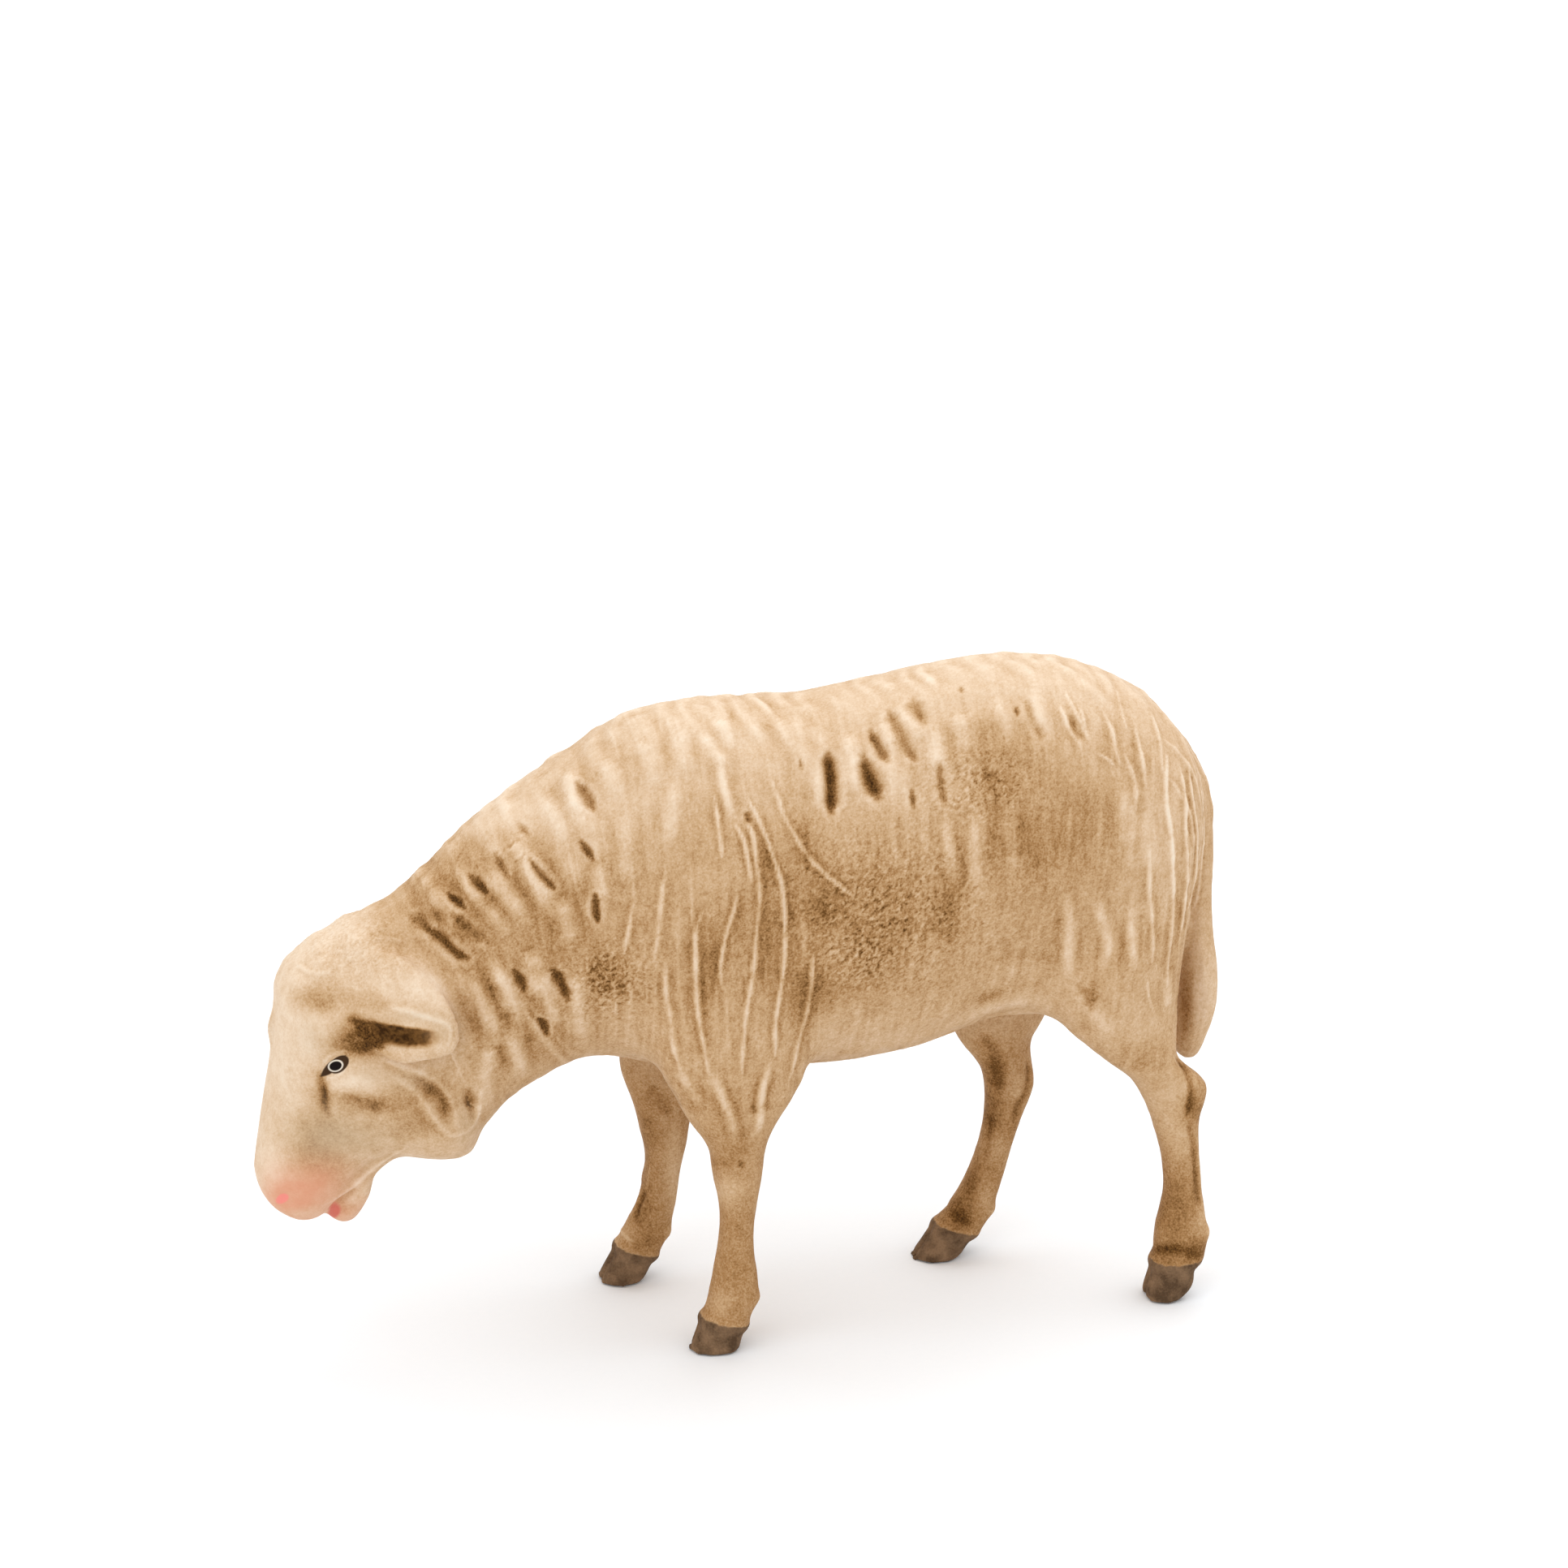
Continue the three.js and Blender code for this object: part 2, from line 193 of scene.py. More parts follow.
# base skin: the outer castings closed over their glue gaps and smoothed
skinMake = {
    "swell": 0.35 * mm,
    "voxel": 0.76 * mm,
    "rounds": 24,
    "trunkRounds": 50,
    "trunkFoot": (42 * mm, 50 * mm),
    "neckEase": (0, 6 * mm),
    "tailEase": (-2 * mm, 2 * mm),
    "tailTop": (62 * mm, 72 * mm),
    "earTop": (565, 1195, 45, 40),  # photo pixels
    "earInside": 5 * mm,
    "creaseRounds": 140,
    "creaseReach": 14,
    "creaseDepth": 0.02 * mm,
}
legNames = ["front_left", "front_right", "hind_left", "hind_right"]
castPieces = {  # paint, slot, CAD node
    "left_body": ("fleece", "painted_body", "left_body_shell"),
    "right_body": ("fleece", "painted_body", "right_body_shell"),
    "head": ("head", "painted_head", "head"),
    "left_ear": ("head", "painted_head", "left_ear"),
    "right_ear": ("head", "painted_head", "right_ear"),
    "tail": ("fleece", "painted_body", "tail"),
}
castPieces.update({f"{name}_leg": ("leg", "painted_leg", f"{name}_leg") for name in legNames})
pieceNumber = {name: number for number, name in enumerate(castPieces, 1)}
neckTop = np.array([-0.055257, 0, 0.0729])
neckLow = np.array([-0.041757, 0, 0.0346])
neckMiddle = (neckTop + neckLow) / 2
neckAxis = np.array([neckLow[2] - neckTop[2], 0, neckTop[0] - neckLow[0]])
neckAxis /= np.linalg.norm(neckAxis)
jointHeight = 41 * mm


def readPlaces(items, field):
    values = np.empty(len(items) * 3, np.float32)
    items.foreach_get(field, values)
    return values.reshape(-1, 3).astype(float)


def readNumbers(items, field, each=1):
    values = np.empty(len(items) * each, np.int32)
    items.foreach_get(field, values)
    return values


def meshPoints(mesh):
    return readPlaces(mesh.vertices, "co")


def pointNormals(mesh):
    return readPlaces(mesh.vertex_normals, "vector")


def meshEdges(mesh):
    return readNumbers(mesh.edges, "vertices", 2).reshape(-1, 2)


def setPoints(mesh, points):
    mesh.vertices.foreach_set("co", points.astype(np.float32).ravel())
    mesh.update()


def aboveFloor(points):
    return np.maximum(points, [-np.inf, -np.inf, 0])


def mirrored(points):
    return points * np.array([1, -1, 1])


def leftSide(points):  # both sides folded onto the left
    return points * [1, 0, 1] - np.abs(points) * [0, 1, 0]


def forward(points):  # in front of the joint between neck and head
    return (points - neckMiddle) @ neckAxis


def neighbourMean(values, edges):
    starts = np.concatenate([edges[:, 0], edges[:, 1]])
    ends = np.concatenate([edges[:, 1], edges[:, 0]])
    count = len(values)
    share = np.maximum(np.bincount(starts, minlength=count), 1)
    if values.ndim == 1:
        return np.bincount(starts, values[ends], count) / share
    return np.stack([np.bincount(starts, column[ends], count) / share for column in values.T], 1)


def relax(points, edges, rounds, weight=None, keepSize=True):
    weight = np.ones(len(points)) if weight is None else weight
    for _ in range(rounds):
        for step in ((0.5, -0.53) if keepSize else (0.5,)):
            points = points + step * weight[:, None] * (neighbourMean(points, edges) - points)
    return points


def spread(values, edges, rounds):
    for _ in range(rounds):
        values = 0.5 * values + 0.5 * neighbourMean(values, edges)
    return values


def easeStep(values, low, high):
    part = np.clip((values - low) / (high - low), 0, 1)
    return part * part * (3 - 2 * part)


def zoneShape(photo, zone):
    x, y, wide, high = zone
    return np.exp(-((photo[:, 0] - x) / wide) ** 2 - ((photo[:, 1] - y) / high) ** 2)


def bell(points, spot, reach):  # reach in mm
    return np.exp(-(np.linalg.norm(points - spot, axis=1) / (reach * mm)) ** 2)


def evaluated(holder):
    return bpy.data.meshes.new_from_object(holder.evaluated_get(bpy.context.evaluated_depsgraph_get()))


def withModifier(mesh, kind, **settings):
    holder = addObject("working", mesh)
    change = holder.modifiers.new("change", kind)
    for key, value in settings.items():
        setattr(change, key, value)
    made = evaluated(holder)
    bpy.data.objects.remove(holder)
    return made


def outerOnly(mesh):
    edges = meshEdges(mesh)
    label = np.arange(len(mesh.vertices))
    before = None
    while before is None or (label != before).any():
        before = label.copy()
        np.minimum.at(label, edges[:, 0], label[edges[:, 1]])
        np.minimum.at(label, edges[:, 1], label[edges[:, 0]])
        label = label[label]
    inner = label != label[meshPoints(mesh)[:, 2].argmax()]
    work = bmesh.new()
    work.from_mesh(mesh)
    work.verts.ensure_lookup_table()
    bmesh.ops.delete(work, geom=[work.verts[i] for i in np.flatnonzero(inner)], context="VERTS")
    work.to_mesh(mesh)
    work.free()


def joinedCastings():
    joined = bmesh.new()
    for _, _, node in castPieces.values():
        part = bmesh.new()
        part.from_mesh(cadNodes[node].data)
        bmesh.ops.remove_doubles(part, verts=part.verts, dist=1e-6)
        part.normal_update()
        for vert in part.verts:
            vert.co += vert.normal * skinMake["swell"]
        copy = bpy.data.meshes.new("copy")
        part.to_mesh(copy)
        part.free()
        joined.from_mesh(copy)
        bpy.data.meshes.remove(copy)
    whole = bpy.data.meshes.new("wholeCasting")
    joined.to_mesh(whole)
    joined.free()
    return whole


def makeBaseSkin():
    skin = withModifier(joinedCastings(), "REMESH", mode="VOXEL", voxel_size=skinMake["voxel"])
    outerOnly(skin)
    edges = meshEdges(skin)
    points = relax(meshPoints(skin), edges, skinMake["rounds"])
    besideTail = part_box("tail")[0].x - points[:, 0]
    trunk = easeStep(points[:, 2], *skinMake["trunkFoot"]) * easeStep(-forward(points), *skinMake["neckEase"])
    trunk *= np.maximum(easeStep(besideTail, *skinMake["tailEase"]), easeStep(points[:, 2], *skinMake["tailTop"]))
    points = relax(points, edges, skinMake["trunkRounds"], trunk)
    setPoints(skin, points)
    # shoulders and thighs flow into the trunk, and the ears' upper edges into the neck
    onEar = zoneShape(photoPlace(leftSide(points)), skinMake["earTop"])
    trunk = np.maximum(trunk, onEar * (np.abs(points[:, 1]) > skinMake["earInside"]))
    hollow = ((neighbourMean(points, edges) - points) * pointNormals(skin)).sum(1)
    hollow = spread(hollow, edges, 4) * trunk
    crease = np.clip(hollow / skinMake["creaseDepth"], 0, 1)
    crease = np.clip(spread(crease, edges, skinMake["creaseReach"]) * 3, 0, 1) * trunk
    points = relax(points, edges, skinMake["creaseRounds"], crease, keepSize=False)
    setPoints(skin, points)
    setPoints(skin, aboveFloor(points - pointNormals(skin) * skinMake["swell"]))
    fine = withModifier(skin, "SUBSURF", levels=1, render_levels=1)
    print("base skin", len(fine.vertices), "points")
    return fine


baseSkin = makeBaseSkin()

# small corrections of the outline: photo point, reach in mm, shift right and up in mm
outlineNudges = {
    "both": [
        (800, 890, 13, 0.2, 0.25), (880, 885, 10, 0, 0.3),  # withers
        (628, 985, 6, -0.3, 0.3), (676, 948, 6, 0.6, -0.7),  # crest of the neck
        (1445, 905, 6, 0.3, 0.3), (1470, 960, 9, 0.5, 0.1),  # rump
        (1488, 1120, 7, -0.4, 0), (1482, 1235, 8, 0.8, 0),  # tail
        (1229, 1262, 8, 0, 1.6),  # flank fold before the thigh
        (370, 1175, 6, 0.1, -0.2), (335, 1400, 9, -0.5, 0),  # wool cap and bridge of the nose
        (545, 1405, 6, 0.2, -1), (462, 1440, 5, -0.4, 0.5),  # jaw
        (447, 1475, 3, 0.9, 0), (425, 1500, 3, 0, -0.3),  # lower lip
        (668, 1325, 4.5, 0.2, -0.5), (1120, 1292, 8, 0, -0.35),  # chest and belly
        (566, 1276, 4, -1.3, 0.3), (530, 1308, 4, -0.4, 1.3),  # ear
    ],
    "thigh": [(1456, 1220, 9, -3.2, 0), (1450, 1268, 7, -1.6, 0), (1457, 1178, 6, -1, 0)],
    "tail": [(1466, 1285, 4, -1.8, 0), (1490, 1275, 3.6, 1.5, 0)],
    "left": [
        (922, 1598, 3.5, 0.3, 0), (858, 1662, 2.4, -0.7, 0), (914, 1655, 2.4, 0.5, 0),  # front leg
        (1412, 1350, 6, -0.6, 0), (1468, 1328, 4.5, 0.9, 0.2), (1465, 1410, 8, 0.35, 0),  # hind leg
        (1413, 1600, 2.6, -0.8, 0), (1464, 1580, 2.4, 0.8, 0),
    ],
    "right": [
        (338, 1266, 2.6, -0.9, 0),  # brow
        (768, 1315, 5, -0.3, -0.5), (808, 1430, 10, 0.3, 0), (752, 1568, 5, -0.5, 0),  # front leg
        (841, 1427, 0.8, 0.6, 0),  # flash on it
        (1190, 1285, 5, 0.2, -0.3), (1192, 1282, 4.5, -0.9, 0), (1266, 1287, 2.5, -0.7, 0),  # hind leg
        (1262, 1322, 4.5, 0.7, 0), (1215, 1430, 9, 0.35, 0), (1140, 1545, 5, -0.6, 0),
    ],
}
tailBlend = (0.4 * mm, 3.0 * mm)


def touched(tree, x, y):  # the skin under a photo point, or beside it where the ray just misses
    hit = tree.ray_cast(Vector(cameraEye), photoRay(x, y))[0]
    if hit is None:
        hit = tree.find_nearest(Vector(cameraEye) + photoRay(x, y) * photoView["distance"])[0]
    return np.array(hit)


def applyNudges(mesh):
    points = meshPoints(mesh)
    tree = BVHTree.FromPolygons(points.tolist(), [p.vertices[:] for p in mesh.polygons])
    tailLow, tailHigh = (np.array(corner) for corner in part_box("tail"))
    inTail = 1 - easeStep(np.maximum(tailLow - points, points - tailHigh).max(1), *tailBlend)
    where = {"both": 1, "thigh": 1 - inTail, "tail": inTail, "left": points[:, 1] < 0, "right": points[:, 1] > 0}
    shift = np.zeros_like(points)
    for side, nudges in outlineNudges.items():
        for x, y, reach, right, up in nudges:
            hit = touched(tree, x, y)
            move = (sideways * right + upright * up) * mm
            share = bell(points, hit, reach)
            if side not in ("left", "right"):  # the far half follows, and the middle moves without leaning
                share, move = share + (1 - share) * bell(mirrored(points), hit, reach), move * [1, 0, 1]
            shift += (share * where[side])[:, None] * move
    setPoints(mesh, aboveFloor(points + shift))


applyNudges(baseSkin)
print("outline nudged")

# the skin is cut along its joints and each face is given to its casting
divideMake = {
    "boxGrow": 1.5 * mm,
    "reach": 1.6 * mm,
    "weld": 0.02 * mm,
    "legsFrom": -30 * mm,
    "frontTo": 20 * mm,
}


def nodeTree(name):
    mesh = cadNodes[name].data
    return BVHTree.FromPolygons([v.co for v in mesh.vertices], [p.vertices[:] for p in mesh.polygons])


def faceLayout(mesh):
    start, size = (readNumbers(mesh.polygons, field) for field in ("loop_start", "loop_total"))
    return readNumbers(mesh.loops, "vertex_index"), start, size, readPlaces(mesh.polygons, "center")


def faceTags(mesh):
    return readNumbers(mesh.attributes["casting"].data, "value")


def cutPlane(mesh, place, normal, wanted):
    corner, start, _, middle = faceLayout(mesh)
    side = ((meshPoints(mesh) - place) @ normal)[corner]
    straddles = (np.minimum.reduceat(side, start) < 0) & (np.maximum.reduceat(side, start) > 0)
    chosen = np.flatnonzero(straddles & (faceTags(mesh) == 0) & wanted(middle))
    work = bmesh.new()
    work.from_mesh(mesh)
    work.faces.ensure_lookup_table()
    geom = set()
    for face in (work.faces[index] for index in chosen):
        geom.update([face, *face.edges, *face.verts])
    bmesh.ops.bisect_plane(work, geom=list(geom), dist=divideMake["weld"], plane_co=place, plane_no=normal)
    work.to_mesh(mesh)
    work.free()


def setOnTags(middle):  # ears and tail take the faces that lie nearest to their solids
    tags = np.zeros(len(middle), np.int32)
    others = [nodeTree(name) for name in ("head", "left_body_shell", "right_body_shell")]
    for name in ("left_ear", "right_ear", "tail"):
        low, high = (np.array(corner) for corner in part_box(name))
        inBox = (middle > low - divideMake["boxGrow"]) & (middle < high + divideMake["boxGrow"])
        tree = nodeTree(name)
        for index in np.flatnonzero(inBox.all(1)):
            spot = Vector(middle[index])
            own = tree.find_nearest(spot)[3]
            if own < divideMake["reach"] and own < min(other.find_nearest(spot)[3] for other in others):
                tags[index] = pieceNumber[name]
    return tags


def divideSkin(mesh):
    tags = setOnTags(faceLayout(mesh)[3])
    mesh.attributes.new("casting", "INT", "FACE").data.foreach_set("value", tags)
    cutPlane(mesh, neckMiddle, neckAxis, lambda m: m[:, 0] < 0)
    cutPlane(mesh, np.zeros(3), np.array([0.0, 1, 0]), lambda m: forward(m) < 0)
    legCut = np.array([0, 0, jointHeight])
    cutPlane(mesh, legCut, np.array([0.0, 0, 1]), lambda m: m[:, 0] > divideMake["legsFrom"])
    middle, tags = faceLayout(mesh)[3], faceTags(mesh)
    onLeft, isFront = middle[:, 1] < 0, middle[:, 0] < divideMake["frontTo"]
    inLeg = (middle[:, 2] < jointHeight) & (middle[:, 0] > divideMake["legsFrom"])
    legs = [pieceNumber[f"{name}_leg"] for name in legNames]
    whole = np.select(
        [tags > 0, forward(middle) > 0, inLeg & isFront & onLeft, inLeg & isFront, inLeg & onLeft, inLeg, onLeft],
        [tags, pieceNumber["head"], *legs, pieceNumber["left_body"]], pieceNumber["right_body"])
    work = bmesh.new()
    work.from_mesh(mesh)
    tree = BVHTree.FromBMesh(work)
    work.free()
    return tree, whole.astype(np.int32)


skinTree, faceGroup = divideSkin(baseSkin)
skinPoints, skinEdges, skinNormals = meshPoints(baseSkin), meshEdges(baseSkin), pointNormals(baseSkin)
pointCount = len(skinPoints)
loopPoint, faceStart, faceSize, _ = faceLayout(baseSkin)
pointGroup = np.zeros(pointCount, np.int32)
pointGroup[loopPoint] = np.repeat(faceGroup, faceSize)
leftPhoto, ownPhoto = photoPlace(leftSide(skinPoints)), photoPlace(skinPoints)


def isGroup(*names):
    return np.isin(pointGroup, [pieceNumber[name] for name in names])


isLeg = isGroup(*[f"{name}_leg" for name in legNames])
isEar = isGroup("left_ear", "right_ear")
isHead = isGroup("head") | isEar
isTrunk = ~(isLeg | isHead)
print("divided", {name: int((faceGroup == number).sum()) for name, number in pieceNumber.items()})

# a map that follows the fleece: along the spine, across the figure, up the section, in mm
spineStations = np.array([  # back x and z, belly x and z
    [72.6, 86, 70, 57.5], [69.4, 92.2, 66.4, 51.6], [63, 98.8, 58.5, 48.2], [53.4, 103.2, 48.5, 46.2],
    [43, 104.9, 38, 45.1], [31, 104.1, 28, 43.2], [19.5, 102.2, 18, 41.9], [7, 100.8, 8, 41.8],
    [-5, 101, -3, 42.4], [-15, 99.9, -13, 43.4], [-23.2, 96.4, -20, 45.4], [-32.4, 90.6, -26, 45.4],
    [-41.5, 83.9, -31.5, 43.5], [-49, 77.1, -37, 39.5], [-54.5, 72.9, -41, 34.6],
]) - [0.757, 0, 0.757, 0]
neckRise = {"slope": 0.35, "from": -20, "reach": 60}


def fleecePlace():
    flat = skinPoints[:, [0, 2]] / mm
    tops, lows = spineStations[:, :2], spineStations[:, 2:]
    middles = (tops + lows) / 2
    stations = np.concatenate([[0], np.cumsum(np.linalg.norm(np.diff(middles, axis=0), axis=1))])
    ups = (tops - lows) / np.linalg.norm(tops - lows, axis=1)[:, None]
    ahead = np.stack([-ups[:, 1], ups[:, 0]], 1)  # square to each section, towards the nose
    passed = np.stack([(flat - m) @ a for m, a in zip(middles, ahead)], 1)
    along = passed[:, 0].copy()  # behind the first section
    for k in range(len(stations) - 1):
        here = (passed[:, k] >= 0) & (passed[:, k + 1] < 0)
        part = passed[:, k] / np.maximum(passed[:, k] - passed[:, k + 1], 1e-9)
        along[here] = (stations[k] + part * (stations[k + 1] - stations[k]))[here]
    beyond = passed[:, -1] >= 0
    along[beyond] = (stations[-1] + passed[:, -1])[beyond]
    up = flat[:, 1] + neckRise["slope"] * np.clip(neckRise["from"] - flat[:, 0], 0, neckRise["reach"])
    return np.stack([along, skinPoints[:, 1] / mm, up], 1)


fleeceMap = fleecePlace()
lift = np.zeros(pointCount)  # mm along the normal
# pale: paler paint on raised places, partly a painted highlight; washAndShade: brown wash together with painted
# shade; dark: painted shade in the cuts, partly a darker glaze
dark, pale, washAndShade = np.zeros(pointCount), np.zeros(pointCount), np.zeros(pointCount)


def smoothPath(path, step):
    if len(path) > 2:  # round the corners twice
        for _ in range(2):
            inner = np.stack([0.75 * path[:-1] + 0.25 * path[1:], 0.25 * path[:-1] + 0.75 * path[1:]], 1)
            path = np.concatenate([path[:1], inner.reshape(-1, path.shape[1]), path[-1:]])
    run = np.concatenate([[0], np.cumsum(np.linalg.norm(np.diff(path, axis=0), axis=1))])
    places = np.linspace(0, run[-1], max(int(run[-1] / step), 2))
    return np.stack([np.interp(places, run, column) for column in path.T], 1)


foldMake = {
    "pixelStep": 2.2, "longestJump": 5 * mm, "lineStep": 0.22 * mm, "blunt": 0.3, "knotGap": 1.7,
    "width": 0.66, "height": 0.55, "shade": 0.16, "foldShade": 0.13,
    "cutWidth": 0.85, "cutDepth": 0.70, "lip": 0.08, "lipPale": 0.2,
}


def onSkin(path, loose=1.0):  # photo pixels to places on the skin
    path = np.reshape(path, (-1, 2)).astype(float)
    path += dice.normal(0, 1, path.shape) * loose
    line = []
    for x, y in smoothPath(path, foldMake["pixelStep"]):
        hit = skinTree.ray_cast(Vector(cameraEye), photoRay(x, y))[0]
        if hit is not None and (not line or (hit - line[-1]).length <= foldMake["longestJump"]):
            line.append(hit)
    return np.array(line)


def snapped(line):
    return np.array([skinTree.find_nearest(Vector(p))[0] for p in line])


def strokePlace(line, reach):  # skin points near a line: how far from it and how far along it, in mm
    line = smoothPath(line, foldMake["lineStep"])
    low, high = line.min(0) - reach * mm, line.max(0) + reach * mm
    near = np.flatnonzero((skinPoints[:, 0] > low[0]) & (skinPoints[:, 0] < high[0]))
    near = near[((skinPoints[near, 1:] > low[1:]) & (skinPoints[near, 1:] < high[1:])).all(1)]
    here = skinPoints[near]
    square = (here ** 2).sum(1)[:, None] + (line ** 2).sum(1)[None] - 2 * here @ line.T
    nearest = square.argmin(1)
    gap = np.sqrt(np.maximum(square[np.arange(len(near)), nearest], 0)) / mm
    length = np.linalg.norm(np.diff(line, axis=0), axis=1).sum() / mm
    return near, gap, nearest / (len(line) - 1), length


def strokeEnds(part, length, ends, rough):  # thinner towards both ends, uneven between
    blunt = foldMake["blunt"]
    taper = np.clip((np.minimum(part, 1 - part) * length + blunt) / min(ends, length / 2 + blunt), 0, 1)
    knots = max(int(length / foldMake["knotGap"]), 5)
    return taper, np.interp(part, np.linspace(0, 1, knots), dice.uniform(1 - rough, 1 + rough, knots))


# ridges are painted paler, partly as dry-brushed cream and partly as a painted highlight on the crest
def ridge(line, halfWidth, height, paleness):
    halfWidth, height = halfWidth * foldMake["width"], height * foldMake["height"]
    near, gap, part, length = strokePlace(line, halfWidth * 5)
    taper, wobble = strokeEnds(part, length, 4.0, 0.45)
    width = halfWidth * (0.4 + 0.6 * taper ** 0.7) * (0.5 + 0.5 * wobble)
    shape = np.exp(-(gap / width) ** 1.5) * taper ** 0.5 * wobble
    lift[near] += height * shape
    pale[near] = np.maximum(pale[near], paleness * shape)
    washAndShade[near] += foldMake["shade"] * paleness * np.exp(-(gap / (width * 3)) ** 2) * taper


def softFold(line, halfWidth, height, paleness):  # round fold of wool
    near, gap, part, length = strokePlace(line, halfWidth * 3.2)
    taper, wobble = strokeEnds(part, length, min(5.0, 0.3 * length), 0.3)
    shape = np.exp(-(gap / halfWidth) ** 2) * taper * wobble
    lift[near] += height * shape
    pale[near] = np.maximum(pale[near], paleness * shape)
    washAndShade[near] += foldMake["foldShade"] * paleness * np.exp(-((gap / halfWidth - 1.7) / 0.6) ** 2) * taper


def cut(line, halfWidth, depth, darkness):
    halfWidth, depth = halfWidth * foldMake["cutWidth"], depth * foldMake["cutDepth"]
    near, gap, part, length = strokePlace(line, halfWidth * 3.4)
    taper, wobble = strokeEnds(part, length, 1.4, 0.3)
    width = halfWidth * (0.45 + 0.55 * taper ** 0.7) * (0.5 + 0.5 * wobble)
    shape = np.exp(-(gap / width) ** 2) * taper ** 0.5
    rim = np.exp(-((gap / width - 1.9) / 0.7) ** 2) * taper
    lift[near] += depth * (foldMake["lip"] * rim - shape)
    pale[near] = np.maximum(pale[near], foldMake["lipPale"] * darkness * rim)
    # the dark in the cut is painted shade in the recess, partly a darker glaze in the nick
    shadeInCut = 0.55 * np.exp(-(gap / (0.65 * width)) ** 2) + 0.45 * np.exp(-(gap / (1.5 * width)) ** 2)
    dark[near] = np.maximum(dark[near], darkness * shadeInCut * taper ** 0.5)


def bothSides(line, sway):
    yield line
    away = mirrored(line) + dice.normal(0, sway, 3) * [1, 0, 1] * mm
    yield snapped(away)


def drawFolds(draw, folds, paleness, loose=1.0, sway=0.8):
    for halfWidth, height, *path in folds:
        for side in bothSides(onSkin(path, loose), sway):
            draw(side, halfWidth, height, paleness)


def drawCuts(cuts, sway=0.8):
    for halfWidth, depth, darkness, *path in cuts:
        for side in bothSides(onSkin(path), sway):
            cut(side, halfWidth, depth, darkness)


# soft round forms: photo point, reach in mm, height in mm
softForms = [
    (396, 1282, 3.4, 1), (415, 1317, 2.4, -0.5), (448, 1284, 3.8, -0.9), (448, 1324, 2.8, 0.5),
    (398, 1350, 2.2, -0.5), (520, 1310, 4, 0.3), (365, 1270, 3, -0.3), (378, 1330, 4, 0.3), (352, 1180, 2, 0.45),
    (376, 1152, 2, 0.45), (420, 1132, 2.4, 0.4), (342, 1212, 1.8, 0.35), (395, 1170, 2.2, 0.3), (440, 1160, 2.4, 0.3),
    (470, 1130, 2.4, 0.3), (395, 1235, 3.2, -0.35), (352, 1215, 5, 0.4), (455, 1400, 6, 0.4), (372, 1440, 5, 0.25),
    (350, 1477, 1.3, -0.35), (560, 1400, 4, 0.5), (905, 1120, 12, 0.5), (1375, 1150, 13, 0.4), (1215, 958, 4, -0.25),
    (1060, 1240, 12, 0.3), (760, 1150, 8, -0.5), (1030, 1000, 12, -0.2), (1235, 1190, 8, -0.6), (985, 1120, 6, -0.5),
]
offTail = ~isGroup("tail")
for x, y, reach, height in softForms:
    centre = touched(skinTree, x, y)
    for place in (centre, mirrored(centre)):
        lift += height * bell(skinPoints, place, reach) * offTail

# folds of the fleece on the seen side: half width and height in mm, then photo points
fleeceFolds = [
    (0.6, 0.35, 952, 960, 960, 985, 967, 1005, 976, 1025, 988, 1045, 1005, 1065, 1025, 1085, 1050, 1102),
    (0.55, 0.4, 880, 970, 883, 1000, 886, 1030, 890, 1060),
    (0.55, 0.55, 921, 985, 935, 1010, 948, 1040, 955, 1065, 962, 1088, 966, 1120, 968, 1160, 966, 1190, 960, 1230,
     956, 1265, 955, 1300),
    (0.5, 0.45, 905, 1015, 918, 1032, 920, 1055, 924, 1085),
    (0.6, 0.5, 920, 1010, 928, 1030, 930, 1050, 935, 1095, 935, 1120, 932, 1160, 930, 1190, 924, 1220, 918, 1250, 915,
     1285, 913, 1325),
    (0.55, 0.5, 907, 1095, 905, 1112, 898, 1140, 890, 1170, 886, 1195, 888, 1215),
    (0.7, 0.5, 864, 1125, 858, 1145, 856, 1180, 857, 1220, 860, 1255, 868, 1290, 875, 1320),
    (0.8, 0.3, 820, 1070, 815, 1110, 812, 1150, 806, 1185),
    (0.8, 0.4, 820, 1190, 820, 1220, 824, 1255, 830, 1290, 840, 1320), (0.7, 0.4, 780, 1115, 775, 1145, 768, 1175),
    (0.7, 0.4, 1001, 1175, 998, 1215, 992, 1250, 985, 1280, 976, 1312, 971, 1330),
]
hipFolds = [
    (0.7, 0.42, 1305, 870, 1318, 900, 1335, 925), (0.6, 0.36, 1310, 850, 1325, 880, 1340, 912),
    (0.6, 0.36, 1330, 870, 1342, 905), (0.7, 0.42, 1355, 870, 1368, 895, 1375, 920, 1378, 940),
    (0.6, 0.36, 1375, 850, 1385, 880, 1390, 905), (0.6, 0.36, 1350, 925, 1362, 935, 1372, 942),
    (0.7, 0.3, 1385, 930, 1398, 960, 1400, 1000), (0.7, 0.42, 1400, 900, 1408, 935, 1410, 970),
    (0.7, 0.42, 1420, 880, 1430, 915, 1432, 950),
    (0.75, 0.55, 1436, 935, 1434, 965, 1437, 1000, 1443, 1035, 1445, 1080, 1444, 1115, 1442, 1145, 1438, 1180, 1436,
     1215),
    (0.65, 0.5, 1455, 945, 1458, 980, 1460, 1020, 1462, 1060, 1461, 1098, 1456, 1135, 1451, 1165),
    (0.6, 0.45, 1465, 940, 1470, 980, 1472, 1020, 1471, 1060, 1469, 1095, 1463, 1125),
    (0.55, 0.4, 1475, 950, 1480, 1000, 1481, 1055, 1477, 1098, 1470, 1121),
    (0.7, 0.4, 1416, 1040, 1416, 1085, 1416, 1121, 1420, 1155, 1419, 1185),
    (0.6, 0.25, 1411, 1200, 1412, 1225, 1420, 1248),
]
